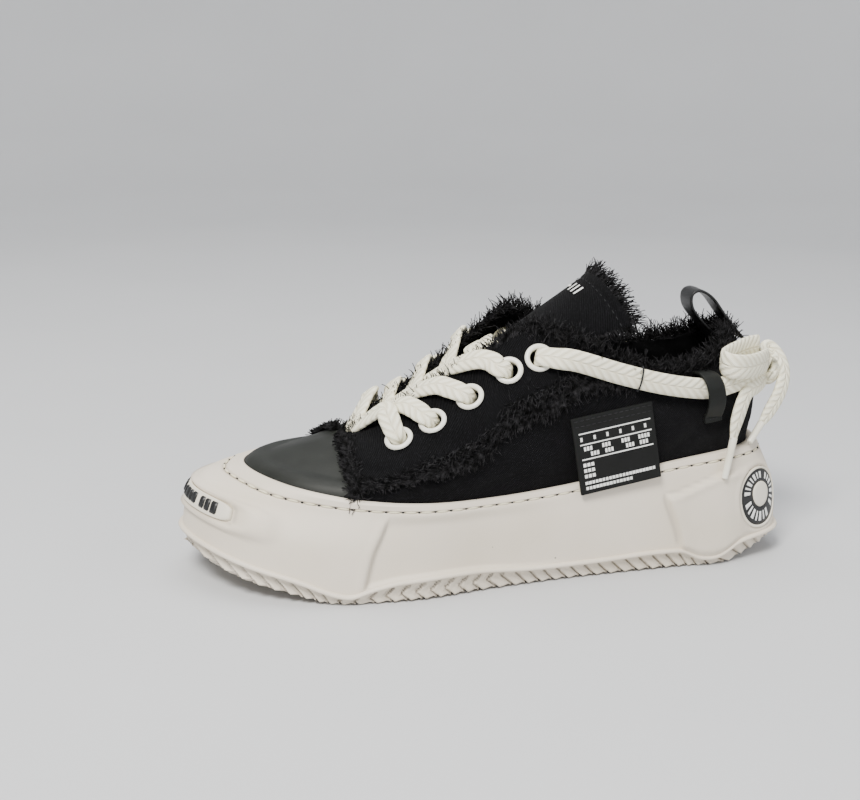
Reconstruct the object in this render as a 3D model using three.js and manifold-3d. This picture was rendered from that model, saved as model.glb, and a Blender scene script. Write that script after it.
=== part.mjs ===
// A low canvas lace-up shoe for the left foot: lugged cup sole, hollow upper, laces led round the heel.
// Millimetres. +X points to the toe, +Y to the outer (lateral) side, +Z up; the tread stands on z = 0.
import * as THREE from 'three';
import { mergeVertices } from 'three/addons/utils/BufferGeometryUtils.js';
import Module from 'manifold-3d';

const wasm = await Module();
wasm.setup();

// Driving dimensions.
const LENGTH = 305;
const BALL_WIDTH = 114;
const HEEL_HEIGHT = 112;
const INSTEP_HEIGHT = 118.5;
const UPPER_WALL = 2;
const GAP = 0.3;
const CUP_GAP = 0.8;
const OVERLAY = 1.2;
const INSOLE_THICKNESS = 4;
const RIB_PROUD = 0.9;
const LUG_PITCH = 7.3;
const LUG_DEPTH = 3.2;
const LUG_RANGE = [-136, 146];
const GROOVE_WIDTH = 2.4;
const CHEVRON = 9;
const EYELET_OUTER = 14;
const EYELET_HOLE = 9;
const EYELET_BARREL = 0.7;
const EYELET_DEPTH = 2.4;
const EYELET_CLEARANCE = 0.5;
const EYELET_RISE = 1.6;
const EYELET_ROWS = 5;
const LACE_WIDTH = 8.4;
const LACE_THICKNESS = 3.2;
const CORD_DIAMETER = 5;
const STRAP_THICKNESS = 1.3;
const TOE_CAP_REAR = 75.5;
const SIDE_LABEL = { width: 42, height: 38.5, thickness: 1.4, slope: 0.166, lean: 0.06 };
const SIDE_LABEL_CENTRE = [-50.3, 44.4, 65.6];

// Inlays on the sole: centre and half sizes in stations (a) and rings (b), corner power, offset, height.
const TOE_PLATE = {
  a: 10, b: 1.2, wide: 0.93, high: 0.33, power: 5, rings: 3, spokes: 20, gap: 1, rise: 1.2,
};
const HEEL_BADGE = {
  a: 1.44, b: 0.92, wide: 0.5, high: 0.74, power: 2, rings: 2, spokes: 16, gap: 0.5, rise: 1,
};

// Mesh density: columns run round the shoe from the heel over the lateral side to the toe and back.
const COLUMNS = 60;
const STATIONS = 20;

// Outlines seen from above, heel to toe: [x, lateral y, medial y] in thousandths of LENGTH and BALL_WIDTH.
// The five upper outlines lie at the footbed, at the sole's lip, twice up the wall and at the top edge.
const FLOOR = [[-446, 0, 0], [-425, 162, -154], [-374, 263, -246], [-289, 294, -259], [-190, 298, -250],
  [-85, 303, -254], [26, 342, -307], [144, 408, -404], [269, 386, -395], [374, 237, -281], [430, -35, -35]];
const LIP = [[-448, 0, 0], [-431, 175, -171], [-380, 289, -276], [-289, 320, -289], [-190, 329, -289],
  [-85, 338, -311], [26, 373, -360], [144, 430, -434], [249, 408, -408], [348, 250, -268], [398, -35, -35]];
const LOW = [[-458, 0, 0], [-438, 180, -175], [-384, 307, -294], [-290, 346, -316], [-190, 360, -325],
  [-89, 364, -333], [16, 377, -360], [134, 399, -390], [239, 338, -329], [325, 175, -184], [357, -26, -26]];
const HIGH = [[-454, 0, 0], [-433, 171, -167], [-375, 311, -294], [-285, 351, -325], [-189, 364, -338],
  [-95, 351, -333], [-3, 325, -316], [121, 294, -285], [226, 237, -228], [289, 110, -118], [308, -18, -18]];
const TOP = [[-411, 0, 0], [-393, 132, -127], [-348, 254, -246], [-275, 325, -311], [-190, 338, -320],
  [-102, 281, -272], [-30, 197, -193], [98, 140, -140], [203, 101, -105], [249, 53, -61], [259, -4, -4]];

// Outlines of the sole's outer wall: at the rib over the tread, half way up, at the shoulder and at the rim.
const RIB = [[-498, 0, 0], [-480, 250, -237], [-392, 362, -344], [-289, 379, -351], [-190, 388, -340],
  [-85, 404, -360], [33, 443, -404], [170, 500, -482], [321, 447, -469], [439, 281, -360], [502, -44, -44]];
const WALL = [[-492, 0, 0], [-472, 240, -228], [-387, 354, -336], [-287, 371, -342], [-190, 379, -332],
  [-85, 395, -351], [33, 434, -395], [170, 491, -474], [318, 439, -461], [433, 268, -346], [493, -44, -44]];
const SHOULDER = [[-473, 0, 0], [-453, 222, -212], [-384, 340, -323], [-287, 360, -329], [-190, 368, -322],
  [-85, 382, -340], [33, 419, -384], [164, 476, -461], [298, 408, -425], [413, 228, -303], [469, -44, -44]];
const RIM = [[-463, 0, 0], [-443, 204, -196], [-382, 325, -307], [-289, 349, -318], [-190, 358, -312],
  [-85, 370, -330], [30, 406, -373], [151, 463, -452], [262, 434, -425], [364, 276, -298], [415, -35, -35]];

// Height lines seen from the side: [x, z] in millimetres.
const TREAD_LINE = [[-152, 13], [-137, 7], [-126, 3.3], [-114, 0], [0, 0], [89, 0], [112, 4.4], [138, 10.8],
  [153, 17]];
const RIB_LINE = [[-152, 14.6], [-136, 13.8], [-121, 12], [-109, 6], [-99, 6], [-87, 10.7], [-40, 9.5],
  [-8, 9.8], [25, 12.5], [58, 11.6], [71, 9], [84, 5.4], [107, 13], [126, 18], [153, 25.5]];
const FLOOR_LINE = [[-152, 31.5], [-110, 30.5], [-60, 28.5], [-10, 24.8], [40, 20.6], [80, 20.6],
  [115, 25.6], [140, 31]];
const LIP_LINE = [[-146, 58.5], [-116, 58.8], [-88, 55.8], [-58, 51.5], [-26, 47], [8, 44.8], [44, 46],
  [76, 49], [106, 52.3], [128, 54.2]];
const TOP_LINE = [[-125.5, HEEL_HEIGHT], [-120, 109.3], [-106, 103], [-84, 99.5], [-58, 103.5], [-31, 115.6],
  [-9, INSTEP_HEIGHT], [30, 92], [62, 72.8], [76, 66], [79, 65.2]];
const LOW_SHARE = 0.3;
const HIGH_SHARE = 0.65;
const WALL_SHARE = 0.5;
const SHOULDER_SHARE = 0.85;
const RIM_SHARE = 0.99;

const material = (color, roughness) => new THREE.MeshStandardMaterial({ color, roughness });
const rubber = material(0xd6d2cb, 0.75);
const canvas = material(0x131316, 0.95);
const leather = material(0x4a4d48, 0.5);
const cotton = material(0xe6e3d2, 0.9);
const enamel = material(0xefefe6, 0.35);
const lining = material(0x1a1a1c, 0.95);

const clampIndex = (i, list) => Math.min(Math.max(i, 0), list.length - 1);

// Smooth curve through [x, y] pairs, with slopes taken from the neighbouring points.
function lineHeight(line, x) {
  const at = Math.min(Math.max(x, line[0][0]), line.at(-1)[0]);
  const i = clampIndex(line.findIndex(([px]) => px > at) - 1, line.slice(1));
  const k = at >= line.at(-1)[0] ? line.length - 2 : i;
  const slope = (j) => {
    const [a, b] = [line[clampIndex(j - 1, line)], line[clampIndex(j + 1, line)]];
    return (b[1] - a[1]) / (b[0] - a[0]);
  };
  const width = line[k + 1][0] - line[k][0];
  const t = (at - line[k][0]) / width;
  const near = (1 + 2 * t) * (1 - t) ** 2 * line[k][1] + t * (1 - t) ** 2 * width * slope(k);
  const far = t * t * (3 - 2 * t) * line[k + 1][1] + t * t * (t - 1) * width * slope(k + 1);
  return near + far;
}

// Catmull-Rom blend of four vectors.
function blend(p0, p1, p2, p3, t) {
  const inner = [2 - 5 * t * t + 3 * t ** 3, t + 4 * t * t - 3 * t ** 3];
  const weights = [-t + 2 * t * t - t ** 3, ...inner, t ** 3 - t * t];
  const sum = new THREE.Vector3();
  [p0, p1, p2, p3].forEach((p, i) => sum.addScaledVector(p, weights[i] / 2));
  return sum;
}

// Control points of a closed outline: lateral side from heel to toe, then the medial side back.
function outline(table, height) {
  const point = (row, side) => {
    const x = row[0] * LENGTH / 1000;
    return new THREE.Vector3(x, row[side] * BALL_WIDTH / 1000, height(x));
  };
  const lateral = table.map((row) => point(row, 1));
  const medial = table.slice(1, -1).map((row) => point(row, 2)).reverse();
  return [...lateral, ...medial];
}

function around(ring, a) {
  const i = Math.floor(a);
  const at = (k) => ring[(k % STATIONS + STATIONS) % STATIONS];
  return blend(at(i - 1), at(i), at(i + 1), at(i + 2), a - i);
}

const treadHeight = (x) => Math.max(lineHeight(TREAD_LINE, x), 0);
const floorHeight = (x) => lineHeight(FLOOR_LINE, x);
const ribHeight = (x) => lineHeight(RIB_LINE, x);
const lipRing = outline(LIP, (x) => lineHeight(LIP_LINE, x));
const topRing = outline(TOP, (x) => lineHeight(TOP_LINE, x));
const between = (table, share) => outline(table, () => 0).map((p, i) => {
  p.z = THREE.MathUtils.lerp(lipRing[i].z, topRing[i].z, share);
  return p;
});
const UPPER_RINGS = [outline(FLOOR, (x) => floorHeight(x) + GAP), lipRing, between(LOW, LOW_SHARE),
  between(HIGH, HIGH_SHARE), topRing];

// The upper's outer surface: a counts stations round the shoe, b runs from the footbed (0) to the top (4).
function upperPoint(a, b) {
  const i = Math.min(Math.floor(b), UPPER_RINGS.length - 2);
  const at = (k) => around(UPPER_RINGS[clampIndex(k, UPPER_RINGS)], a);
  return blend(at(i - 1), at(i), at(i + 1), at(i + 2), b - i);
}

function surfaceNormal(surface, a, b) {
  const step = 0.02;
  const down = Math.max(b - step, 0);
  const along = surface(a + step, b).sub(surface(a - step, b));
  const up = surface(a, Math.min(b + step, 4)).sub(surface(a, down));
  return up.cross(along).normalize();
}

function upperAt(a, b, offset = 0) {
  return upperPoint(a, b).addScaledVector(surfaceNormal(upperPoint, a, b), offset);
}

function solid(points, triangles) {
  const geometry = new THREE.BufferGeometry();
  geometry.setAttribute('position', new THREE.Float32BufferAttribute(points.flatMap((p) => p.toArray()), 3));
  geometry.setIndex(triangles.flat());
  return geometry;
}

const columnRing = (place) => Array.from({ length: COLUMNS }, (_, i) => place(i * STATIONS / COLUMNS));

// Closes a ring with rungs that run straight across from the lateral to the medial side.
function addCap(points, triangles, base, height, faceUp) {
  const half = COLUMNS / 2;
  const rung = (j) => {
    const [left, right] = [base + j, base + COLUMNS - j];
    const middle = points[left].clone().lerp(points[right], 0.5);
    return [left, points.push(middle.setZ(height(middle.x))) - 1, right];
  };
  const rungs = Array.from({ length: half - 1 }, (_, j) => rung(j + 1));
  const faces = [];
  for (const s of [0, 1]) {
    faces.push([base, rungs[0][s + 1], rungs[0][s]]);
    faces.push([rungs.at(-1)[s], rungs.at(-1)[s + 1], base + half]);
    for (let j = 0; j < rungs.length - 1; j += 1) {
      const [near, next] = [rungs[j], rungs[j + 1]];
      faces.push([near[s], near[s + 1], next[s + 1]], [near[s], next[s + 1], next[s]]);
    }
  }
  triangles.push(...(faceUp ? faces : faces.map(([p, q, r]) => [p, r, q])));
}

// Skins a stack of rings, either closed on itself or capped at its first and last ring.
function ringStack(rings, caps) {
  const points = rings.flat();
  const triangles = [];
  const count = rings[0].length;
  const steps = caps ? rings.length - 1 : rings.length;
  for (let r = 0; r < steps; r += 1) {
    for (let i = 0; i < count; i += 1) {
      const [low, high] = [r * count, ((r + 1) % rings.length) * count];
      const next = (i + 1) % count;
      triangles.push([low + i, high + i, high + next], [low + i, high + next, low + next]);
    }
  }
  if (caps) {
    addCap(points, triangles, 0, caps[0], false);
    addCap(points, triangles, (rings.length - 1) * count, caps[1], true);
  }
  return solid(points, triangles);
}

// A closed sheet over a grid; place(i, j, side) gives the inner (0) or outer (1) face.
function gridSheet(columns, rows, place) {
  const points = [];
  const triangles = [];
  const index = (i, j, side) => (side * (columns + 1) + i) * (rows + 1) + j;
  for (const side of [0, 1]) {
    for (let i = 0; i <= columns; i += 1) {
      for (let j = 0; j <= rows; j += 1) points.push(place(i, j, side));
    }
  }
  const quad = (p, q, r, s) => triangles.push([p, q, r], [p, r, s]);
  for (let i = 0; i < columns; i += 1) {
    for (let j = 0; j < rows; j += 1) {
      quad(index(i, j, 1), index(i, j + 1, 1), index(i + 1, j + 1, 1), index(i + 1, j, 1));
      quad(index(i, j, 0), index(i + 1, j, 0), index(i + 1, j + 1, 0), index(i, j + 1, 0));
    }
  }
  for (let i = 0; i < columns; i += 1) {
    quad(index(i, 0, 0), index(i, 0, 1), index(i + 1, 0, 1), index(i + 1, 0, 0));
    quad(index(i, rows, 0), index(i + 1, rows, 0), index(i + 1, rows, 1), index(i, rows, 1));
  }
  for (let j = 0; j < rows; j += 1) {
    quad(index(0, j, 0), index(0, j + 1, 0), index(0, j + 1, 1), index(0, j, 1));
    quad(index(columns, j, 0), index(columns, j, 1), index(columns, j + 1, 1), index(columns, j + 1, 0));
  }
  return solid(points, triangles);
}

function toManifold(geometry) {
  const bare = geometry.clone();
  bare.deleteAttribute('normal');
  bare.deleteAttribute('uv');
  const merged = mergeVertices(bare, 1e-4);
  const vertProperties = merged.attributes.position.array;
  const triVerts = Uint32Array.from(merged.index.array);
  return new wasm.Manifold(new wasm.Mesh({ numProp: 3, vertProperties, triVerts }));
}

function fromManifold(body) {
  const mesh = body.getMesh();
  const geometry = new THREE.BufferGeometry();
  geometry.setAttribute('position', new THREE.BufferAttribute(Float32Array.from(mesh.vertProperties), 3));
  geometry.setIndex(Array.from(mesh.triVerts));
  return geometry;
}

const shoe = new THREE.Group();
const cords = new Set();

function add(name, geometry, look) {
  const mesh = new THREE.Mesh(geometry, look);
  mesh.name = name;
  shoe.add(mesh);
  return mesh;
}

// Upper: one wall lofted through the five outlines, with a hole for each eyelet.
const UPPER_ROWS = [0, 1, 1.5, 2, 2.5, 3, 3.5, 4];
const EYELET_A = [7.51, 5.7];
const EYELET_B = [3.15, 3.5];
const EYELET_BORE = EYELET_HOLE / 2 + EYELET_BARREL + EYELET_CLEARANCE;
const sides = { lateral: (a) => a, medial: (a) => STATIONS - a };

function eyeletFrame(side, row) {
  const share = (row - 1) / (EYELET_ROWS - 1);
  const a = sides[side](THREE.MathUtils.lerp(EYELET_A[0], EYELET_A[1], share));
  const b = THREE.MathUtils.lerp(EYELET_B[0], EYELET_B[1], share);
  const out = surfaceNormal(upperPoint, a, b);
  const turn = new THREE.Quaternion().setFromUnitVectors(new THREE.Vector3(0, 1, 0), out);
  return new THREE.Matrix4().compose(upperPoint(a, b), turn, new THREE.Vector3(1, 1, 1));
}

function makeUpper() {
  const outer = UPPER_ROWS.map((b) => columnRing((a) => upperAt(a, b)));
  const inner = UPPER_ROWS.map((b, r) => columnRing((a) => {
    const p = upperAt(a, b, -UPPER_WALL);
    if (r === 0) p.z = floorHeight(p.x) + GAP;
    return p;
  }));
  let wall = toManifold(ringStack([...outer, ...inner.reverse()], null));
  for (const side of Object.keys(sides)) {
    for (let row = 1; row <= EYELET_ROWS; row += 1) {
      const drill = new THREE.CylinderGeometry(EYELET_BORE, EYELET_BORE, 6 * UPPER_WALL, 10);
      wall = wall.subtract(toManifold(drill.applyMatrix4(eyeletFrame(side, row))));
    }
  }
  return fromManifold(wall);
}

// Midsole: the cup, whose inner wall follows the upper and gives way where an overlay tucks in.
const TUCKED = [[-0.34, 0.34], [7.6, 12.4]];
const cupGap = (a) => {
  const wrapped = a > STATIONS / 2 + 2.5 ? a - STATIONS : a;
  const tucked = TUCKED.some(([from, to]) => wrapped >= from && wrapped <= to);
  return tucked ? CUP_GAP + OVERLAY + 2 * GAP : CUP_GAP;
};

function cupRings() {
  const rib = outline(RIB, ribHeight);
  const lift = (table, share) => outline(table, () => 0).map((p, i) => {
    p.z = THREE.MathUtils.lerp(rib[i].z, lipRing[i].z, share);
    return p;
  });
  return [rib, lift(WALL, WALL_SHARE), lift(SHOULDER, SHOULDER_SHARE), lift(RIM, RIM_SHARE)];
}

const CUP_RINGS = cupRings();

// The cup's outer surface: b runs from the rib (0) to the rim (3).
function cupPoint(a, b) {
  const i = Math.min(Math.floor(b), CUP_RINGS.length - 2);
  const at = (k) => around(CUP_RINGS[clampIndex(k, CUP_RINGS)], a);
  return blend(at(i - 1), at(i), at(i + 1), at(i + 2), b - i);
}

function makeMidsole() {
  const bottom = columnRing((a) => cupPoint(a, 0)).map((p) => p.setZ(ribHeight(p.x) + GAP));
  const floor = columnRing((a) => {
    const out = surfaceNormal(upperPoint, a, 0).setZ(0).normalize();
    return upperPoint(a, 0).addScaledVector(out, cupGap(a));
  }).map((p) => p.setZ(floorHeight(p.x)));
  const wall = [0.5, 1, 1.5, 2, 2.5, 3].map((b) => columnRing((a) => cupPoint(a, b)));
  const rings = [bottom, ...wall, columnRing((a) => upperAt(a, 1, cupGap(a))), floor];
  return ringStack(rings, [(x) => ribHeight(x) + GAP, floorHeight]);
}

// Outsole: the tread under the rib, cut into chevron lugs by grooves that start below it.
const GROOVE_START = 5;

function groove(x) {
  const half = 0.6 * BALL_WIDTH;
  const corners = [[-CHEVRON, half], [0, 0], [-CHEVRON, -half]];
  const edge = (list, dx) => list.map(([px, py]) => new THREE.Vector2(x + px + dx, py));
  const back = edge(corners, -GROOVE_WIDTH / 2);
  const front = edge(corners.reverse(), GROOVE_WIDTH / 2);
  const options = { depth: LUG_DEPTH + GROOVE_START, bevelEnabled: false };
  const cut = new THREE.ExtrudeGeometry(new THREE.Shape([...back, ...front]), options);
  return cut.translate(0, 0, treadHeight(x - CHEVRON / 2) - GROOVE_START);
}

function makeOutsole() {
  const rib = columnRing((a) => around(outline(RIB, ribHeight), a));
  const swell = (distance, height) => rib.map((p, i) => {
    const along = rib[(i + 1) % COLUMNS].clone().sub(rib[(i - 1 + COLUMNS) % COLUMNS]);
    const out = new THREE.Vector3(-along.y, along.x, 0).normalize();
    const q = p.clone().addScaledVector(out, distance);
    return q.setZ(height(q.x, ribHeight(p.x)));
  });
  const rings = [
    swell(-3, (x) => treadHeight(x)),
    swell(-1.2, (x, top) => Math.max(top - 2.2, treadHeight(x) + 1)),
    swell(RIB_PROUD, (x, top) => top - 0.8),
    swell(0, (x, top) => top),
  ];
  let body = toManifold(ringStack(rings, [treadHeight, ribHeight]));
  for (let x = LUG_RANGE[0]; x < LUG_RANGE[1]; x += LUG_PITCH) {
    body = body.subtract(toManifold(groove(x)));
  }
  return fromManifold(body);
}

// Insole: lies on the cup's floor inside the upper.
function makeInsole() {
  const edge = (b, rise) => columnRing((a) => upperAt(a, b, -UPPER_WALL - 2 * GAP))
    .map((p) => p.setZ(floorHeight(p.x) + GAP + rise));
  const top = (x) => floorHeight(x) + GAP + INSOLE_THICKNESS;
  return ringStack([edge(0, 0), edge(0.2, INSOLE_THICKNESS)], [(x) => floorHeight(x) + GAP, top]);
}

// Tongue: a curved flap from under the vamp to above the throat; rows of [x, z, half width, roll radius].
const TONGUE = [[84, 58.5, 10, 40], [62, 69.5, 14, 38], [30, 89.5, 19, 36], [-9, 114.5, 25, 33],
  [-30, 129, 32, 32], [-51, 143, 41, 31]];
const TONGUE_THICKNESS = 2.6;
const TONGUE_TOP_DIP = 2;
const TONGUE_RISE = new THREE.Vector3(0.53, 0, 0.85).normalize();
const TONGUE_BACK = new THREE.Vector3(-0.85, 0, 0.53).normalize();

function tonguePoint(s, t, offset = 0) {
  const place = s * (TONGUE.length - 1);
  const i = Math.min(Math.floor(place), TONGUE.length - 2);
  const at = (k) => TONGUE[clampIndex(k, TONGUE)];
  const knots = [i - 1, i, i + 1, i + 2].map((k) => new THREE.Vector3(at(k)[0], 0, at(k)[1]));
  const mid = blend(...knots, place - i);
  const [half, radius] = [2, 3].map((c) => THREE.MathUtils.lerp(at(i)[c], at(i + 1)[c], place - i));
  const turn = t * half / radius;
  const rise = (radius + offset) * Math.cos(turn) - radius;
  mid.addScaledVector(TONGUE_RISE, rise);
  mid.addScaledVector(TONGUE_BACK, -TONGUE_TOP_DIP * s ** 3 * t * t);
  mid.y = (radius + offset) * Math.sin(turn);
  return mid;
}

function makeTongue() {
  const [along, across] = [12, 8];
  const depth = (side) => (side - 1) * TONGUE_THICKNESS;
  return gridSheet(along, across, (i, j, side) => tonguePoint(i / along, 2 * j / across - 1, depth(side)));
}

// Overlays that stand proud of the upper: parts of its own grid, moved out by the gap.
function overlay(first, last, rows) {
  const side = (b, i, offset) => upperAt((first + i) * STATIONS / COLUMNS, b, offset);
  return gridSheet(last - first, rows.length - 1, (i, j, face) => {
    const p = side(rows[j], i, GAP + face * OVERLAY);
    return rows[j] === 0 ? p.setZ(floorHeight(p.x) + GAP) : p;
  });
}

function makeToeCap() {
  const shell = toManifold(overlay(23, 37, UPPER_ROWS.slice(0, -1)));
  const front = new THREE.BoxGeometry(LENGTH, 2 * BALL_WIDTH, 2 * HEEL_HEIGHT);
  return fromManifold(shell.intersect(toManifold(front.translate(TOE_CAP_REAR + LENGTH / 2, 0, 0))));
}

// Eyelet: a flanged ring whose barrel passes through the wall.
function makeEyelet() {
  const [bore, barrel, flange] = [EYELET_HOLE / 2, EYELET_HOLE / 2 + EYELET_BARREL, EYELET_OUTER / 2];
  const profile = [
    [bore, -EYELET_DEPTH],
    [barrel, -EYELET_DEPTH],
    [barrel, EYELET_CLEARANCE],
    [flange, EYELET_CLEARANCE],
    [flange - EYELET_BARREL, EYELET_RISE],
    [bore, EYELET_RISE],
    [bore, -EYELET_DEPTH],
  ];
  return new THREE.LatheGeometry(profile.map(([r, y]) => new THREE.Vector2(r, y)), 12);
}

// A flat lace through places given as [point, outward normal], square at its ends.
function flatLace(places) {
  const path = new THREE.CatmullRomCurve3(places.map(([p]) => p), false, 'centripetal');
  const steps = places.length * 2;
  return gridSheet(steps, 1, (i, j, face) => {
    const t = i / steps;
    const along = t * (places.length - 1);
    const k = Math.min(Math.floor(along), places.length - 2);
    const normal = places[k][1].clone().lerp(places[k + 1][1], along - k).normalize();
    const across = path.getTangent(t).cross(normal).normalize();
    const p = path.getPoint(t).addScaledVector(across, (j - 0.5) * LACE_WIDTH);
    return p.addScaledVector(normal, (face - 0.5) * LACE_THICKNESS);
  });
}

const LACE_ON_TONGUE = [0.22, 0.6];

function tonguePlace(row, t, raise = 0) {
  const s = THREE.MathUtils.lerp(LACE_ON_TONGUE[0], LACE_ON_TONGUE[1], (row - 1) / (EYELET_ROWS - 1));
  const base = tonguePoint(s, t);
  const raised = tonguePoint(s, t, LACE_THICKNESS / 2 + 3 * GAP + raise);
  return [raised, raised.clone().sub(base).normalize()];
}

function eyeletPlace(side, row, towardsEdge, raise = 0) {
  const share = (row - 1) / (EYELET_ROWS - 1);
  const a = sides[side](THREE.MathUtils.lerp(EYELET_A[0], EYELET_A[1], share));
  const b = THREE.MathUtils.lerp(THREE.MathUtils.lerp(EYELET_B[0], EYELET_B[1], share), 4, towardsEdge);
  const lift = EYELET_RISE + (2 + 5 * towardsEdge) * GAP + LACE_THICKNESS / 2 + raise;
  return [upperAt(a, b, lift), surfaceNormal(upperPoint, a, b)];
}

// Rows count from the toe, and places between two rows are fractions of a row. A strand runs straight over the
// tongue beside the lower row, then back along its side of the throat to the upper row's eyelet.
const STRAND = { start: 0.2, startAcross: 0.4, middle: 0.08, edge: 0.02, slope: 0.48, slopeEdge: 0.5, later: 0.24 };
const BAR = { middle: 0.5, across: 0.15, edge: 0.5, slope: 0.74, slopeEdge: 0.5, raise: 3.4 };

// The lowest lace lies straight across, over the first crossing, and a little ahead of its eyelets.
function makeLaceBar() {
  const half = (side, sign) => [
    tonguePlace(BAR.middle, BAR.across * sign, BAR.raise),
    eyeletPlace(side, BAR.edge, 1, BAR.raise),
    eyeletPlace(side, BAR.slope, BAR.slopeEdge, BAR.raise),
    eyeletPlace(side, 1, 0),
  ];
  return flatLace([...half('lateral', 1).reverse(), tonguePlace(BAR.middle, 0, BAR.raise), ...half('medial', -1)]);
}

// Crossing between two rows, of two strands that lie one behind the other.
// The top crossing ends on the tongue, where the lace goes under the edge to the last eyelet.
function makeLaceCross(row) {
  const strand = (side, sign, later) => {
    const low = tonguePlace(row + STRAND.start + later, -STRAND.startAcross * sign);
    const middle = tonguePlace(row + STRAND.middle + later, 0);
    const under = [tonguePlace(row + STRAND.start + later, STRAND.startAcross * sign)];
    const over = [
      eyeletPlace(side, row + STRAND.edge + later, 1),
      eyeletPlace(side, row + STRAND.slope, STRAND.slopeEdge),
      eyeletPlace(side, row + 1, 0),
    ];
    return flatLace([low, middle, ...(row === EYELET_ROWS - 1 ? under : over)]);
  };
  const strands = [strand('lateral', 1, 0), strand('medial', -1, STRAND.later)];
  return fromManifold(toManifold(strands[0]).add(toManifold(strands[1])));
}

// Lace keeper: a short leather strap on the quarter that stands off to let the lace pass.
const KEEPER = { a: 2.55, width: 9, from: 2.4, to: 3.85, standOff: 9, steps: 8 };

function makeKeeper(side) {
  const a = sides[side](KEEPER.a);
  const perStation = upperPoint(a - 0.5, 3).distanceTo(upperPoint(a + 0.5, 3));
  return gridSheet(1, KEEPER.steps, (i, j, face) => {
    const share = j / KEEPER.steps;
    const b = THREE.MathUtils.lerp(KEEPER.from, KEEPER.to, share);
    const bulge = KEEPER.standOff * Math.sin(Math.PI * share ** 1.6) ** 0.7;
    return upperAt(a + (i - 0.5) * KEEPER.width / perStation, b, 2 * GAP + bulge + face * STRAP_THICKNESS);
  });
}

// Pull loop: a strap folded over the collar at the heel, its legs outside and inside the wall: [x, z].
const PULL_LOOP = [[-133.4, 108.4], [-128.4, 113.6], [-122, 121], [-115, 129.6], [-108, 133.6],
  [-103.4, 131.6], [-104, 125], [-110, 117.4], [-117.5, 110.6], [-123.5, 104.6]];
const PULL_LOOP_WIDTH = 13;
const PULL_LOOP_STEPS = 20;

function makePullLoop() {
  const path = new THREE.CatmullRomCurve3(PULL_LOOP.map(([x, z]) => new THREE.Vector3(x, 0, z)));
  return gridSheet(PULL_LOOP_STEPS, 1, (i, j, face) => {
    const t = i / PULL_LOOP_STEPS;
    const out = new THREE.Vector3(0, 1, 0).cross(path.getTangent(t)).normalize();
    const p = path.getPoint(t).addScaledVector(out, (face - 0.5) * STRAP_THICKNESS);
    return p.setY((j - 0.5) * PULL_LOOP_WIDTH);
  });
}

// Inlays on the cup's outer wall, drawn as a rounded outline on its own surface.
function makeInlay({ a, b, wide, high, power, rings, spokes, gap, rise }) {
  const points = [];
  const triangles = [];
  const put = (r, turn, face) => {
    const [c, s] = [Math.cos(turn), Math.sin(turn)];
    const reach = r / rings / (Math.abs(c) ** power + Math.abs(s) ** power) ** (1 / power);
    const [pa, pb] = [a + wide * reach * c, b + high * reach * s];
    const normal = surfaceNormal(cupPoint, pa, pb);
    return points.push(cupPoint(pa, pb).addScaledVector(normal, gap + face * rise)) - 1;
  };
  const spread = (n, face) => put(Math.floor(n / spokes) + 1, (n % spokes) * 2 * Math.PI / spokes, face);
  const rim = (face) => Array.from({ length: rings * spokes }, (_, n) => spread(n, face));
  const disc = (face) => [put(0, 0, face), ...rim(face)];
  const faces = [disc(0), disc(1)];
  const at = (face, r, n) => faces[face][r === 0 ? 0 : 1 + (r - 1) * spokes + n % spokes];
  for (let n = 0; n < spokes; n += 1) {
    for (let r = 0; r < rings; r += 1) {
      const lower = [at(0, r, n), at(0, r + 1, n), at(0, r + 1, n + 1), at(0, r, n + 1)];
      const upper = [at(1, r, n), at(1, r + 1, n), at(1, r + 1, n + 1), at(1, r, n + 1)];
      triangles.push([lower[0], lower[1], lower[2]], [upper[0], upper[2], upper[1]]);
      if (r > 0) triangles.push([lower[0], lower[2], lower[3]], [upper[0], upper[3], upper[2]]);
    }
    const [p, q] = [at(0, rings, n), at(0, rings, n + 1)];
    const [u, v] = [at(1, rings, n), at(1, rings, n + 1)];
    triangles.push([p, u, v], [p, v, q]);
  }
  return solid(points, triangles);
}

// Label sewn on the lateral quarter, hanging flat over the sole's lip.
function makeSideLabel() {
  const label = new THREE.BoxGeometry(SIDE_LABEL.width, SIDE_LABEL.thickness, SIDE_LABEL.height);
  return label.rotateY(SIDE_LABEL.slope).rotateX(SIDE_LABEL.lean).translate(...SIDE_LABEL_CENTRE);
}

// The lace beyond the top eyelets: round tubes through hand-set points.
const CORDS = {
  lace_run_lateral: [[-13.2, 34.6, 112.8], [-30, 41.4, 108.8], [-52, 43.6, 102], [-75, 43.8, 96],
    [-98, 42, 92.4], [-114, 37.6, 93.6], [-127, 30, 95.2], [-136.2, 20.2, 95.3]],
  lace_run_medial: [[-13.2, -34.4, 112.8], [-30, -40.8, 108.8], [-52, -42.4, 102], [-75, -42.4, 96],
    [-98, -40.4, 92.4], [-114, -36.4, 93.6], [-129, -28.8, 95.2], [-141, -15.6, 95.2], [-146, -1.5, 95.3]],
  lace_loop: [[-138.8, 20.8, 100.8], [-131, 29, 101.6], [-121, 37.5, 102.4], [-112.5, 41.8, 103.6],
    [-108, 40.8, 106], [-109.5, 36, 108.6], [-118, 27.8, 109.4], [-130, 17.5, 109.2], [-139.5, 10.5, 107.6]],
  lace_end_1: [[-137.5, 20.5, 89], [-130, 29.5, 88.8], [-121.5, 36.5, 87.5], [-115.5, 40.5, 76],
    [-113.5, 41.5, 65], [-110.5, 43.8, 55], [-108.5, 45, 46.5]],
  lace_end_2: [[-148.5, 5, 102.6], [-153, 9, 98], [-153.5, 14.5, 90.5], [-148.5, 20.5, 82], [-140, 26.5, 74],
    [-132, 31, 67], [-126.5, 34, 61]],
};
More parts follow.
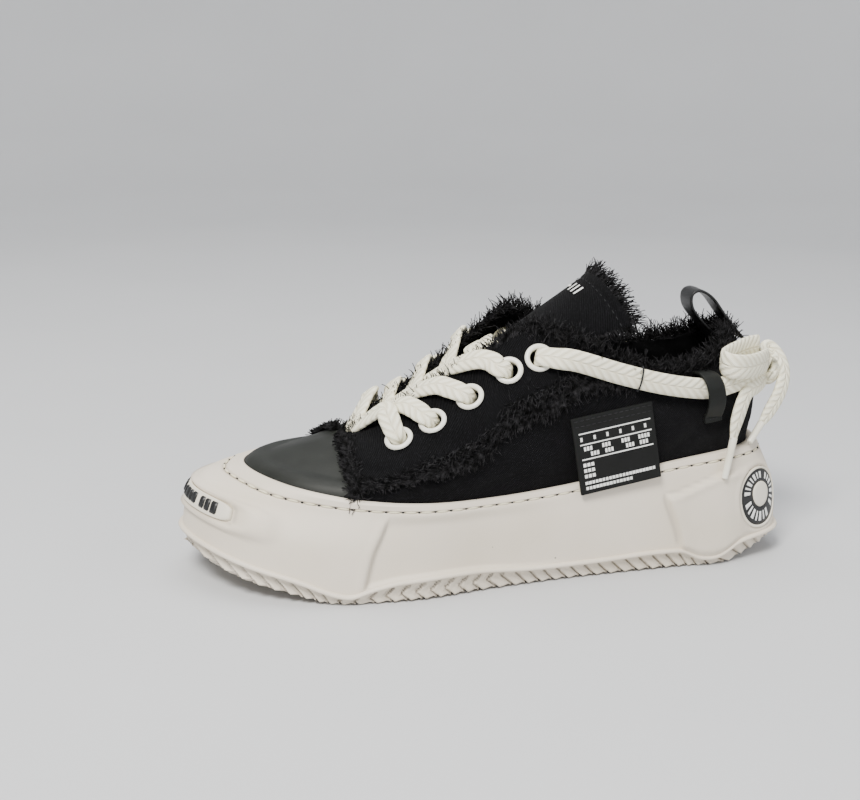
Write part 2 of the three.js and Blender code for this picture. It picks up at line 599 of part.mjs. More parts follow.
const KNOT = { centre: [-143.7, 12.2, 95.5], radius: 7 };

function makeCord(points) {
  const path = new THREE.CatmullRomCurve3(points.map((p) => new THREE.Vector3(...p)), false, 'centripetal');
  const circle = new THREE.EllipseCurve(0, 0, CORD_DIAMETER / 2, CORD_DIAMETER / 2);
  const section = new THREE.Shape(circle.getPoints(8).slice(0, -1));
  const steps = Math.ceil(path.getLength() / (2 * CORD_DIAMETER));
  return new THREE.ExtrudeGeometry(section, { steps, extrudePath: path });
}

add('outsole', makeOutsole(), rubber);
add('midsole', makeMidsole(), rubber);
add('insole', makeInsole(), lining);
add('upper', makeUpper(), canvas);
add('tongue', makeTongue(), canvas);
add('toe_cap', makeToeCap(), leather);
add('heel_strip', overlay(-1, 1, UPPER_ROWS), leather);
add('pull_loop', makePullLoop(), leather);
add('toe_plate', makeInlay(TOE_PLATE), rubber);
add('heel_badge', makeInlay(HEEL_BADGE), rubber);
add('side_label', makeSideLabel(), canvas);
for (const side of Object.keys(sides)) {
  add(`keeper_${side}`, makeKeeper(side), leather);
  for (let row = 1; row <= EYELET_ROWS; row += 1) {
    add(`eyelet_${side}_${row}`, makeEyelet().applyMatrix4(eyeletFrame(side, row)), enamel);
  }
}
add('lace_bar', makeLaceBar(), cotton);
for (let row = 1; row < EYELET_ROWS; row += 1) add(`lace_cross_${row}`, makeLaceCross(row), cotton);
for (const [name, points] of Object.entries(CORDS)) cords.add(add(name, makeCord(points), cotton));
cords.add(add('lace_knot', new THREE.IcosahedronGeometry(KNOT.radius, 1).translate(...KNOT.centre), cotton));

// The shoe stands centred over its origin.
const box = new THREE.Box3();
shoe.children.filter((mesh) => !cords.has(mesh)).forEach((mesh) => box.expandByObject(mesh));
const middle = box.getCenter(new THREE.Vector3());
shoe.position.set(-middle.x, -middle.y, -box.min.z);

export default shoe;
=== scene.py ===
# %% [markdown]
# # A frayed canvas lace-up shoe
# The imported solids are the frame: every visible piece below is laid over one of them, in the same place.
# Sizes are in millimetres in the shoemaker's own frame, +X to the toe, +Y to the outer side, +Z up.
# One function, metres(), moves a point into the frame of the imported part.

import math
import random

import bmesh
import bpy
from mathutils import Matrix, Vector


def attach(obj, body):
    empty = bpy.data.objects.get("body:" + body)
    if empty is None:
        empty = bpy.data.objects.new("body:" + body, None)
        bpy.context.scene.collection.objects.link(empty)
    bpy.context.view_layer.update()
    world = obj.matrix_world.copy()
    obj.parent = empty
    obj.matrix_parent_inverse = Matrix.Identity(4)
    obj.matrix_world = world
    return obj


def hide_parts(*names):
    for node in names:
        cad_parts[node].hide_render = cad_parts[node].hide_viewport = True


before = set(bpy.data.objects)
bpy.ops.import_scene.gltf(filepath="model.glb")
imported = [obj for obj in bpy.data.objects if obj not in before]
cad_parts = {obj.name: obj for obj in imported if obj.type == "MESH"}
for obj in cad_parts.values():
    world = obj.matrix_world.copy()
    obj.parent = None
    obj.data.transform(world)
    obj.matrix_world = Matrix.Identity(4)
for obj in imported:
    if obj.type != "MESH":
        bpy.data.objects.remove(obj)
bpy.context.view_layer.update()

# %% [markdown]
# ## Camera
# The shoe is seen from its outer side, a little from the front and a little from above. A roll of one degree
# keeps the horizon of the view. The camera comes first, because the cords are judged by what it sees.

# %% Sizes and camera
MM = 0.001
LENGTH = 305.0
BALL_WIDTH = 114.0
SHIFT = Vector((-0.61, -0.686, 0.0))
Z_AXIS = Vector((0, 0, 1))
VIEW = {"turn": 15.21, "rise": 15.0, "roll": 1.09, "distance": 706.8, "target": (31.2, 0, 82.2), "lens": 59.93}


def metres(point):
    return (Vector(point) + SHIFT) * MM


def make_camera():
    turn, rise, roll = (math.radians(VIEW[k]) for k in ("turn", "rise", "roll"))
    back = Vector((math.sin(turn) * math.cos(rise), math.cos(turn) * math.cos(rise), math.sin(rise)))
    right = (-back).cross(Z_AXIS).normalized()
    up = right.cross(-back)
    across = right * math.cos(roll) + up * math.sin(roll)
    upright = up * math.cos(roll) - right * math.sin(roll)
    data = bpy.data.cameras.new("camera")
    data.lens = VIEW["lens"]
    camera = bpy.data.objects.new("camera", data)
    place = metres(Vector(VIEW["target"]) + back * VIEW["distance"])
    turned = Matrix((across, upright, back)).transposed().to_4x4()
    camera.matrix_world = Matrix.Translation(place) @ turned
    bpy.context.scene.collection.objects.link(camera)
    bpy.context.scene.camera = camera
    return camera


print("camera at", tuple(round(v, 3) for v in make_camera().location))

# %% [markdown]
# ## The last, as two surfaces
# A shoe's upper and the wall of its cup sole are both pulled over one last. Each surface here is a stack of
# outlines seen from above, given at eleven places from heel to toe as [x, outer y, inner y] in thousandths of
# the length and the ball width, with side-view lines for their heights. A smooth curve runs through them:
# a counts twenty stations round the shoe, from the heel over the outer side to the toe (10) and back.

# %% Outlines and height lines
FLOOR = [[-446, 0, 0], [-425, 162, -154], [-374, 263, -246], [-289, 294, -259], [-190, 298, -250],
         [-85, 303, -254], [26, 342, -307], [144, 408, -404], [269, 386, -395], [374, 237, -281], [430, -35, -35]]
LIP = [[-448, 0, 0], [-431, 175, -171], [-380, 289, -276], [-289, 320, -289], [-190, 329, -289],
       [-85, 338, -311], [26, 373, -360], [144, 430, -434], [249, 408, -408], [348, 250, -268], [398, -35, -35]]
LOW = [[-458, 0, 0], [-438, 180, -175], [-384, 307, -294], [-290, 346, -316], [-190, 360, -325],
       [-89, 364, -333], [16, 377, -360], [134, 399, -390], [239, 338, -329], [325, 175, -184], [357, -26, -26]]
HIGH = [[-454, 0, 0], [-433, 171, -167], [-375, 311, -294], [-285, 351, -325], [-189, 364, -338],
        [-95, 351, -333], [-3, 325, -316], [121, 294, -285], [226, 237, -228], [289, 110, -118], [308, -18, -18]]
TOP = [[-411, 0, 0], [-393, 132, -127], [-348, 254, -246], [-275, 325, -311], [-190, 338, -320],
       [-102, 281, -272], [-30, 197, -193], [98, 140, -140], [203, 101, -105], [249, 53, -61], [259, -4, -4]]
RIB = [[-498, 0, 0], [-480, 250, -237], [-392, 362, -344], [-289, 379, -351], [-190, 388, -340],
       [-85, 404, -360], [33, 443, -404], [170, 500, -482], [321, 447, -469], [439, 281, -360], [502, -44, -44]]
WALL = [[-492, 0, 0], [-472, 240, -228], [-387, 354, -336], [-287, 371, -342], [-190, 379, -332],
        [-85, 395, -351], [33, 434, -395], [170, 491, -474], [318, 439, -461], [433, 268, -346], [493, -44, -44]]
SHOULDER = [[-473, 0, 0], [-453, 222, -212], [-384, 340, -323], [-287, 360, -329], [-190, 368, -322],
            [-85, 382, -340], [33, 419, -384], [164, 476, -461], [298, 408, -425], [413, 228, -303], [469, -44, -44]]
RIM = [[-463, 0, 0], [-443, 204, -196], [-382, 325, -307], [-289, 349, -318], [-190, 358, -312],
       [-85, 370, -330], [30, 406, -373], [151, 463, -452], [262, 434, -425], [364, 276, -298], [415, -35, -35]]
TREAD_LINE = [[-152, 13], [-137, 7], [-126, 3.3], [-114, 0], [0, 0], [89, 0], [112, 4.4], [138, 10.8], [153, 17]]
RIB_LINE = [[-152, 14.6], [-136, 13.8], [-121, 12], [-109, 6], [-99, 6], [-87, 10.7], [-40, 9.5], [-8, 9.8],
            [25, 12.5], [58, 11.6], [71, 9], [84, 5.4], [107, 13], [126, 18], [153, 25.5]]
FLOOR_LINE = [[-152, 31.5], [-110, 30.5], [-60, 28.5], [-10, 24.8], [40, 20.6], [80, 20.6], [115, 25.6], [140, 31]]
LIP_LINE = [[-146, 58.5], [-116, 58.8], [-88, 55.8], [-58, 51.5], [-26, 47], [8, 44.8], [44, 46], [76, 49],
            [106, 52.3], [128, 54.2]]
TOP_LINE = [[-125.5, 112], [-120, 109.3], [-106, 103], [-84, 99.5], [-58, 103.5], [-31, 115.6], [-9, 118.5],
            [30, 92], [62, 72.8], [76, 66], [79, 65.2]]
STATIONS = 20
LOW_SHARE, HIGH_SHARE = 0.3, 0.65
WALL_SHARE, SHOULDER_SHARE, RIM_SHARE = 0.5, 0.85, 0.99


# %% Surface functions
def mix(start, end, share):
    return start + (end - start) * share


def smooth(low, high, value):
    """0 below low, 1 above high, and a soft step between; low may be the greater one."""
    t = min(max((value - low) / (high - low), 0), 1)
    return t * t * (3 - 2 * t)


def bell(value, middle, width):
    return math.exp(-((value - middle) / width) ** 2)


def line_height(line, x):
    x = min(max(x, line[0][0]), line[-1][0])
    k = max(i for i in range(len(line) - 1) if line[i][0] <= x)

    def slope(i):
        before, after = line[max(i - 1, 0)], line[min(i + 1, len(line) - 1)]
        return (after[1] - before[1]) / (after[0] - before[0])

    width = line[k + 1][0] - line[k][0]
    t = (x - line[k][0]) / width
    near = (1 + 2 * t) * (1 - t) ** 2 * line[k][1] + t * (1 - t) ** 2 * width * slope(k)
    return near + t * t * (3 - 2 * t) * line[k + 1][1] + t * t * (t - 1) * width * slope(k + 1)


def blend(p0, p1, p2, p3, t):
    square, cube = t * t, t * t * t
    return (p0 * (-t + 2 * square - cube) + p1 * (2 - 5 * square + 3 * cube)
            + p2 * (t + 4 * square - 3 * cube) + p3 * (cube - square)) / 2


def outline(table, height):
    def point(row, side):
        x = row[0] * LENGTH / 1000
        return Vector((x, row[side] * BALL_WIDTH / 1000, height(x)))

    return [point(row, 1) for row in table] + [point(row, 2) for row in reversed(table[1:-1])]


def between(table, share, lower, upper):
    ring = outline(table, lambda x: 0)
    for i, point in enumerate(ring):
        point.z = mix(lower[i].z, upper[i].z, share)
    return ring


def tread_height(x):
    return max(line_height(TREAD_LINE, x), 0)


def floor_height(x):
    return line_height(FLOOR_LINE, x)


def rib_height(x):
    return line_height(RIB_LINE, x)


def rib_wave(a):
    """The rib dips at the ball and before the heel, between stations: what its smooth ring leaves out."""
    rim = around(RIB_RING, a)
    return rib_height(rim.x) - rim.z


LIP_RING = outline(LIP, lambda x: line_height(LIP_LINE, x))
TOP_RING = outline(TOP, lambda x: line_height(TOP_LINE, x))
RIB_RING = outline(RIB, rib_height)
UPPER_RINGS = [outline(FLOOR, lambda x: floor_height(x) + 0.3), LIP_RING,
               between(LOW, LOW_SHARE, LIP_RING, TOP_RING), between(HIGH, HIGH_SHARE, LIP_RING, TOP_RING), TOP_RING]
CUP_RINGS = [RIB_RING, between(WALL, WALL_SHARE, RIB_RING, LIP_RING),
             between(SHOULDER, SHOULDER_SHARE, RIB_RING, LIP_RING), between(RIM, RIM_SHARE, RIB_RING, LIP_RING)]


def around(ring, a):
    i = math.floor(a)
    return blend(*(ring[(i + k) % STATIONS] for k in (-1, 0, 1, 2)), a - i)


def on_rings(rings, a, b):
    i = min(int(b), len(rings) - 2)
    rows = [around(rings[min(max(i + k, 0), len(rings) - 1)], a) for k in (-1, 0, 1, 2)]
    return blend(*rows, b - i)


def upper_point(a, b):
    """The upper's outer face: b is 0 at the footbed, 1 at the sole's lip and 4 at the top edge."""
    return on_rings(UPPER_RINGS, a, b)


def cup_point(a, b):
    """The cup sole's outer wall: b is 0 at the rib, 2 at the shoulder and 3 at the rim."""
    return on_rings(CUP_RINGS, a, b)


def normal_of(surface, a, b):
    step = 0.02
    along = surface(a + step, b) - surface(a - step, b)
    up = surface(a, min(b + step, 4)) - surface(a, max(b - step, 0))
    return up.cross(along).normalized()


def upper_at(a, b, offset=0.0):
    return upper_point(a, b) + normal_of(upper_point, a, b) * offset


def cup_at(a, b, offset=0.0):
    return cup_point(a, b) + normal_of(cup_point, a, b) * offset


def sided(side, a):
    return a if side > 0 else STATIONS - a


print("ball girth point", [round(v, 1) for v in upper_point(7, 1)])

# %% [markdown]
# ## Helpers for pieces
# Nearly every piece of a shoe is a sheet bent over the last, so one helper lays a bmesh grid over any
# surface, keeps real lengths in its UV map for the weave, and stores a painted-shade value for grooves, steps and
# corners.

# %% Grids, pieces and sweeps
random.seed(7)


def mapped_grid(columns, rows, place, size=(1, 1), flip=True):
    """A grid whose points go to place(u, v); place gives a point in mm, or a point and a painted-shade amount."""
    bm = bmesh.new()
    bmesh.ops.create_grid(bm, x_segments=columns, y_segments=rows, size=0.5)
    uv = bm.loops.layers.uv.new("UVMap")
    shade = bm.verts.layers.float.new("shade")
    for vert in bm.verts:
        u, v = round((vert.co.x + 0.5) * columns) / columns, round((vert.co.y + 0.5) * rows) / rows
        for loop in vert.link_loops:
            loop[uv].uv = (u * size[0] * MM, v * size[1] * MM)
        point = place(u, v)
        if isinstance(point, tuple):
            point, vert[shade] = point
        vert.co = metres(point)
    bmesh.ops.remove_doubles(bm, verts=bm.verts, dist=2e-6)
    if flip:
        bmesh.ops.reverse_faces(bm, faces=bm.faces)
    return bm


def joined(parts):
    """Several bmeshes as one."""
    whole = bmesh.new()
    for part in parts:
        mesh = bpy.data.meshes.new("part")
        part.to_mesh(mesh)
        part.free()
        whole.from_mesh(mesh)
        bpy.data.meshes.remove(mesh)
    return whole


def turned_to(bm, out):
    """Turns all faces the same way, so that most of the sheet looks along out."""
    bmesh.ops.recalc_face_normals(bm, faces=bm.faces)
    if sum(f.normal.dot(out) * f.calc_area() for f in bm.faces) < 0:
        bmesh.ops.reverse_faces(bm, faces=bm.faces)
    return bm


def piece(name, shape, materials, nodes=(), wall=0.0, rounding=0.0, sharp=False):
    """Makes the object: it rides on the shoe, stands for its solids and may get a wall and rounded edges."""
    if isinstance(shape, bmesh.types.BMesh):
        mesh = bpy.data.meshes.new(name)
        shape.to_mesh(mesh)
        shape.free()
    else:
        mesh = shape
        mesh.name = name
    mesh.materials.clear()
    for material in materials if isinstance(materials, list) else [materials]:
        mesh.materials.append(material)
    if not sharp:
        mesh.shade_smooth()
    thing = bpy.data.objects.new(name, mesh)
    bpy.context.scene.collection.objects.link(thing)
    if wall:
        modifier = thing.modifiers.new("wall", "SOLIDIFY")
        modifier.thickness = wall * MM
        modifier.offset = -1
        modifier.material_offset = 1 if len(mesh.materials) > 1 else 0
    if rounding:
        modifier = thing.modifiers.new("rounding", "BEVEL")
        modifier.width = rounding * MM
        modifier.segments = 2
        modifier.limit_method = "ANGLE"
    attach(thing, "root")
    if nodes:
        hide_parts(*nodes)
    print(name, len(mesh.polygons), "faces")
    return thing


def route(points, count):
    """count + 1 points along a smooth curve through the given ones."""
    out = []
    for k in range(count + 1):
        t = k / count * (len(points) - 1)
        i = min(int(t), len(points) - 2)
        out.append(blend(*(points[min(max(i + j, 0), len(points) - 1)] for j in (-1, 0, 1, 2)), t - i))
    return out


def ribbon(places, width, thickness, count, widths=None, around_steps=12, square=0.7):
    """A flat braid swept through places, each a centre and the normal of its face; also gives its centreline."""
    centres = route([Vector(p) for p, _ in places], count)
    normals = [n.normalized() for n in route([Vector(n) for _, n in places], count)]
    spread = route([Vector((w, 0, 0)) for w in widths or [1] * len(places)], count)
    lengths = [0.0]
    for p, q in zip(centres, centres[1:]):
        lengths.append(lengths[-1] + (q - p).length)

    def directions(k):
        tangent = (centres[min(k + 1, count)] - centres[max(k - 1, 0)]).normalized()
        across = tangent.cross(normals[k]).normalized()
        return across, across.cross(tangent)

    def place(u, v):
        k = round(u * count)
        across, out = directions(k)
        c, s = math.cos(2 * math.pi * v), math.sin(2 * math.pi * v)
        side = width / 2 * spread[k].x * math.copysign(abs(c) ** square, c)
        return centres[k] + across * side + out * (thickness / 2 * spread[k].x * math.copysign(abs(s) ** square, s))

    bm = mapped_grid(count, around_steps, place, flip=False)
    uv = bm.loops.layers.uv.active
    for face in bm.faces:
        for loop in face.loops:
            point = loop.vert.co / MM - SHIFT
            k = min(range(count + 1), key=lambda i: (centres[i] - point).length_squared)
            loop[uv].uv = (lengths[k] * MM, (point - centres[k]).dot(directions(k)[0]) * MM)
    rims = [edge for edge in bm.edges if edge.is_boundary]
    bmesh.ops.holes_fill(bm, edges=rims)
    bmesh.ops.recalc_face_normals(bm, faces=bm.faces)
    return bm, [metres(c) for c in centres]


def beads(places, length, thick, lift=0.0):
    """Stitches: one small rounded bead at each place, a point, its direction and the surface normal."""
    bm = bmesh.new()
    size = Matrix.Diagonal((length / 2 * MM, thick / 2 * MM, thick / 2 * MM, 1))
    for point, along, normal in places:
        along = along.normalized()
        across = normal.cross(along).normalized()
        turned = Matrix((along, across, along.cross(across))).transposed().to_4x4()
        spot = Matrix.Translation(metres(point + normal * lift))
        bmesh.ops.create_uvsphere(bm, u_segments=6, v_segments=4, radius=1, matrix=spot @ turned @ size)
    return bm


def along_line(surface, places, spacing, lift=0.0):
    """Evenly spaced places on a surface along a line of (a, b) stops: point, direction, normal."""
    steps = 60
    stops = [(mix(p[0], q[0], k / steps), mix(p[1], q[1], k / steps))
             for p, q in zip(places, places[1:]) for k in range(steps)] + [places[-1]]
    found, run = [], 0.0
    before = surface(*stops[0])
    for a, b in stops[1:]:
        here = surface(a, b)
        run += (here - before).length
        if run >= spacing and (here - before).length > 1e-6:
            normal = normal_of(surface, a, b)
            found.append((here + normal * lift, here - before, normal))
            run = 0.0
        before = here
    return found


# %% [markdown]
# ## Finishes
# The shoe has few finishes: black cotton twill, satin leather, moulded cream rubber, a thick cotton braid,
# ivory enamel and a printed label. Each starts from what the real stuff is and how it was made. Weave and
# braid follow the UV maps, which are in metres; grain, specks and rubbing follow Object coordinates.

# %% Material helpers
def colour(code):
    """An sRGB hex value as linear RGBA."""
    parts = [int(code[i:i + 2], 16) / 255 for i in (1, 3, 5)]
    return [v / 12.92 if v <= 0.04045 else ((v + 0.055) / 1.055) ** 2.4 for v in parts] + [1.0]


def node(tree, kind, inputs, output=0, **settings):
    """Adds one node with its settings, sets or links its inputs, and gives one of its outputs."""
    made = tree.nodes.new("ShaderNode" + kind)
    for key, value in settings.items():
        setattr(made, key, value)
    for key, value in inputs.items():
        if isinstance(value, bpy.types.NodeSocket):
            tree.links.new(value, made.inputs[key])
        else:
            made.inputs[key].default_value = value
    return made.outputs[output]


def finish_of(name, **values):
    """A new material, its node tree and its shader with constant values set on the shader's own sockets."""
    material = bpy.data.materials.new(name)
    material.use_nodes = True
    shader = material.node_tree.nodes["Principled BSDF"]
    for key, value in values.items():
        shader.inputs[key.replace("_", " ")].default_value = value
    return material, material.node_tree, shader


def dressed(tree, shader, base, height, depth_mm, strength=1.0):
    """Links a colour and a bump of a real depth to the shader."""
    bump = node(tree, "Bump", {"Height": height, "Strength": strength, "Distance": depth_mm * MM})
    tree.links.new(bump, shader.inputs["Normal"])
    tree.links.new(base, shader.inputs["Base Color"])


# %% Cotton twill: dyed black, diagonal ribs catch the light, lint and rubbing make it a little grey
TWILL_PITCH = 1.1  # the real ribs are 0.5 mm apart; these are drawn coarser, so that they show


def make_twill(name, dark, light, pitch):
    material, tree, shader = finish_of(name, Roughness=0.95, Sheen_Weight=0.02, Specular_IOR_Level=0.12)
    uv = node(tree, "TexCoord", {}, "UV")
    place = node(tree, "TexCoord", {}, "Object")
    turns = 2 * math.pi / (pitch * MM)
    slant = node(tree, "VectorMath", {0: uv, 1: (turns * 0.8, turns * 0.6, 0)}, "Value", operation="DOT_PRODUCT")
    wander = node(tree, "TexNoise", {"Vector": place, "Scale": 260.0})
    bent = node(tree, "Math", {0: wander, 1: 3.0, 2: slant}, operation="MULTIPLY_ADD")
    wave = node(tree, "Math", {0: bent}, operation="SINE")
    rib = node(tree, "MapRange", {0: wave, 1: -1.0, 2: 1.0})
    speckle = node(tree, "TexNoise", {"Vector": place, "Scale": 900.0, "Detail": 4.0})
    lint = node(tree, "MapRange", {0: speckle, 1: 0.5, 2: 0.8})
    cloud = node(tree, "TexNoise", {"Vector": place, "Scale": 40.0, "Detail": 4.0})
    worn = node(tree, "MapRange", {0: cloud, 1: 0.35, 2: 0.75, 3: 0.35, 4: 1.0})
    lit = node(tree, "Math", {0: rib, 1: worn}, operation="MULTIPLY")
    base = node(tree, "Mix", {0: lit, 6: colour(dark), 7: colour(light)}, 2, data_type="RGBA")
    share = node(tree, "Math", {0: lint, 1: 0.3}, operation="MULTIPLY")
    dusty = node(tree, "Mix", {0: share, 6: base, 7: colour("#27262a")}, 2, data_type="RGBA")
    height = node(tree, "Math", {0: lint, 1: 0.4, 2: rib}, operation="MULTIPLY_ADD")
    dressed(tree, shader, dusty, height, 0.3, 0.8)
    return material


canvas = make_twill("black_cotton_twill", "#030304", "#121214", TWILL_PITCH)
lining = make_twill("black_lining_cloth", "#040405", "#0f0f11", 0.9)


# %% Frayed yarn: cut ends of the same cotton, matt, some of them rubbed grey
def make_yarn():
    material, tree, shader = finish_of("frayed_cotton_yarn", Roughness=0.95, Specular_IOR_Level=0.15)
    place = node(tree, "TexCoord", {}, "Object")
    grain = node(tree, "TexNoise", {"Vector": place, "Scale": 400.0, "Detail": 3.0})
    tone = node(tree, "MapRange", {0: grain, 1: 0.4, 2: 0.72})
    base = node(tree, "Mix", {0: tone, 6: colour("#050505"), 7: colour("#323133")}, 2, data_type="RGBA")
    dressed(tree, shader, base, grain, 0.1, 0.5)
    return material


yarn = make_yarn()


# %% Leathers and smooth moulded parts: a fine pebble grain breaks the sheen, clouds of rubbing lighten it
def make_leather(name, base, rubbed, roughness, grain_mm=0.9, depth_mm=0.05, gloss=0.5):
    material, tree, shader = finish_of(name, Roughness=roughness, Specular_IOR_Level=gloss)
    place = node(tree, "TexCoord", {}, "Object")
    grain = node(tree, "TexVoronoi", {"Vector": place, "Scale": 1 / (grain_mm * MM)}, "Distance")
    cloud = node(tree, "TexNoise", {"Vector": place, "Scale": 70.0, "Detail": 4.0})
    tone = node(tree, "MapRange", {0: cloud, 1: 0.35, 2: 0.7})
    body = node(tree, "Mix", {0: tone, 6: colour(base), 7: colour(rubbed)}, 2, data_type="RGBA")
    dressed(tree, shader, body, grain, depth_mm, 0.5)
    return material


toe_leather = make_leather("satin_grey_leather", "#171915", "#1f211d", 0.56, gloss=0.35)
strap_leather = make_leather("dark_grey_strap_leather", "#0a0c0a", "#111310", 0.58, gloss=0.25)
loop_leather = make_leather("smooth_black_leather", "#0a0a0b", "#131314", 0.36, 0.5)
black_rubber = make_leather("moulded_black_rubber", "#0e0e0f", "#151517", 0.42, 0.6)
label_rubber = make_leather("matt_black_label", "#090a09", "#0f100f", 0.66, 0.7, gloss=0.25)
sewing_thread = make_leather("black_sewing_thread", "#101012", "#1c1c20", 0.8, 0.4)
white_ink = make_leather("dry_white_ink", "#f0f0ed", "#d9d9d5", 0.7, 0.4, 0.02)
ivory_enamel = make_leather("baked_ivory_enamel", "#f3f1e6", "#ebe8d8", 0.22, 4.0, 0.02)
tip_plastic = make_leather("clear_cream_acetate", "#efecdf", "#e2dcc6", 0.2, 1.5, 0.03)


# %% Cream rubber from a matt mould: yellowed in clouds, a few dark specks, painted shade where the shade layer says
def make_rubber(name, clean, aged, speck):
    material, tree, shader = finish_of(name, Roughness=0.6)
    place = node(tree, "TexCoord", {}, "Object")
    cloud = node(tree, "TexNoise", {"Vector": place, "Scale": 18.0, "Detail": 3.0})
    age = node(tree, "MapRange", {0: cloud, 1: 0.3, 2: 0.75})
    body = node(tree, "Mix", {0: age, 6: colour(clean), 7: colour(aged)}, 2, data_type="RGBA")
    near = node(tree, "TexVoronoi", {"Vector": place, "Scale": 75.0}, "Distance")
    spot = node(tree, "Math", {0: near, 1: speck}, operation="LESS_THAN")
    share = node(tree, "Math", {0: spot, 1: 0.7}, operation="MULTIPLY")
    marked = node(tree, "Mix", {0: share, 6: body, 7: colour("#57524a")}, 2, data_type="RGBA")
    # painted shade: the shade layer darkens the rubber towards grey-brown in grooves, steps and corners
    painted_shade_amount = node(tree, "Attribute", {}, "Fac", attribute_name="shade")
    rubber_with_painted_shade = node(tree, "Mix", {0: painted_shade_amount, 6: marked, 7: colour("#8a8379")}, 2, data_type="RGBA")
    pores = node(tree, "TexNoise", {"Vector": place, "Scale": 1500.0, "Detail": 3.0})
    dressed(tree, shader, rubber_with_painted_shade, pores, 0.06, 0.35)
    return material


rubber = make_rubber("moulded_cream_rubber", "#e3d9ca", "#d9cebb", 0.035)
plate_rubber = make_rubber("smooth_cream_rubber", "#e6e0d2", "#ded7c6", 0.0)

# %% Flat cotton braid: plaits meet along the middle in a row of chevrons, each plait of fine strands, with painted shade in the low parts
BRAID_PITCH = 4.6


def make_braid():
    material, tree, shader = finish_of("cream_cotton_braid", Roughness=0.88, Specular_IOR_Level=0.25)
    place = node(tree, "TexCoord", {}, "Object")
    uv = node(tree, "TexCoord", {}, "UV")
    along = node(tree, "SeparateXYZ", {0: uv}, 0)
    across = node(tree, "Math", {0: node(tree, "SeparateXYZ", {0: uv}, 1)}, operation="ABSOLUTE")
    turns = 2 * math.pi / (BRAID_PITCH * MM)
    run = node(tree, "Math", {0: along, 1: turns}, operation="MULTIPLY")
    slant = node(tree, "Math", {0: across, 1: -1.1 * turns, 2: run}, operation="MULTIPLY_ADD")
    wave = node(tree, "Math", {0: slant}, operation="SINE")
    plait = node(tree, "MapRange", {0: wave, 1: -1.0, 2: 0.5})
    fine = node(tree, "Math", {0: slant, 1: 5.0}, operation="MULTIPLY")
    strand = node(tree, "MapRange", {0: node(tree, "Math", {0: fine}, operation="SINE"), 1: -1.0, 2: 1.0})
    middle = node(tree, "MapRange", {0: across, 1: 0.0, 2: 0.6 * MM})
    twisted = node(tree, "Math", {0: strand, 1: 0.25, 2: plait}, operation="MULTIPLY_ADD")
    height = node(tree, "Math", {0: twisted, 1: middle}, operation="MULTIPLY")
    # painted shade: the braid's colour darkens where its height is low, along the middle and between plaits and
    # strands
    depth = node(tree, "MapRange", {0: height, 1: 0.0, 2: 1.0})
    body = node(tree, "Mix", {0: depth, 6: colour("#e2dabf"), 7: colour("#fffbe4")}, 2, data_type="RGBA")
    fluff = node(tree, "TexNoise", {"Vector": place, "Scale": 1200.0, "Detail": 3.0})
    share = node(tree, "MapRange", {0: fluff, 1: 0.45, 2: 0.75, 3: 0.0, 4: 0.35})
    base = node(tree, "Mix", {0: share, 6: body, 7: colour("#ece5cf")}, 2, data_type="RGBA")
    dressed(tree, shader, base, height, 0.6, 0.85)
    return material


braid = make_braid()
print("finishes:", sorted(m.name for m in bpy.data.materials))

# %% [markdown]
# ## The laces
# One thick flat braid runs through five pairs of eyelets. At the lowest pair it lies straight across; above,
# each half comes up from under the edge, crosses over the tongue and dives into the next eyelet. Out of the
# top pair it runs back on both sides, through a keeper, to a knot behind the heel. Braid is swept as a flat
# rounded section whose UV map counts metres along and across it, so that the plaits keep their size.

# %% The tongue's surface, and places on it
TONGUE = [[84, 58.5, 10, 40], [62, 69.5, 14, 38], [30, 89.5, 19, 36], [-9, 114.5, 25, 33],
          [-30, 129, 32, 32], [-51, 143, 41, 31]]
TONGUE_RISE = Vector((0.53, 0, 0.85)).normalized()
TONGUE_BACK = Vector((-0.85, 0, 0.53)).normalized()
LACE_WIDTH, LACE_THICKNESS = 10.4, 3.3
BOW_WIDTH, END_WIDTH, FREE_THICKNESS = 12.4, 8.2, 3.2


def tongue_point(s, t, offset=0.0):
    spot = s * (len(TONGUE) - 1)
    i = min(int(spot), len(TONGUE) - 2)
    knots = [TONGUE[min(max(k, 0), len(TONGUE) - 1)] for k in (i - 1, i, i + 1, i + 2)]
    middle = blend(*(Vector((k[0], 0, k[1])) for k in knots), spot - i)
    half, radius = (mix(TONGUE[i][c], TONGUE[i + 1][c], spot - i) for c in (2, 3))
    turn = t * half / radius
    middle += TONGUE_RISE * ((radius + offset) * math.cos(turn) - radius)
    middle -= TONGUE_BACK * (2 * s ** 3 * t * t)
    middle.y = (radius + offset) * math.sin(turn)
    return middle


def on_tongue(row, t, lift=LACE_THICKNESS / 2 + 0.6):
    s = mix(0.22, 0.6, (row - 1) / 4)
    base = tongue_point(s, t)
    raised = tongue_point(s, t, lift)
    return raised, (raised - base).normalized()


def eyelet_spot(side, row):
    share = (row - 1) / 4
    return sided(side, mix(7.51, 5.7, share)), mix(3.15, 3.5, share)


def over_edge(side, row, towards, lift=4.4):
    a, b = eyelet_spot(side, row)
    b = mix(b, 4, towards)
    return upper_at(a, b, lift), normal_of(upper_point, a, b)


def dive(side, row, heading):
    """The last places of a strand that comes along heading and turns down into an eyelet."""
    a, b = eyelet_spot(side, row)
    centre, normal = upper_point(a, b), normal_of(upper_point, a, b)
    forward = (heading - normal * heading.dot(normal)).normalized()
    return [(centre - forward * 4.6 + normal * 3.9, normal),
            (centre - forward * 1.5 + normal * 2.6, normal * 2 + forward),
            (centre + forward * 0.1 - normal * 0.6, forward), (centre + forward * 0.2 - normal * 5.0, forward)]


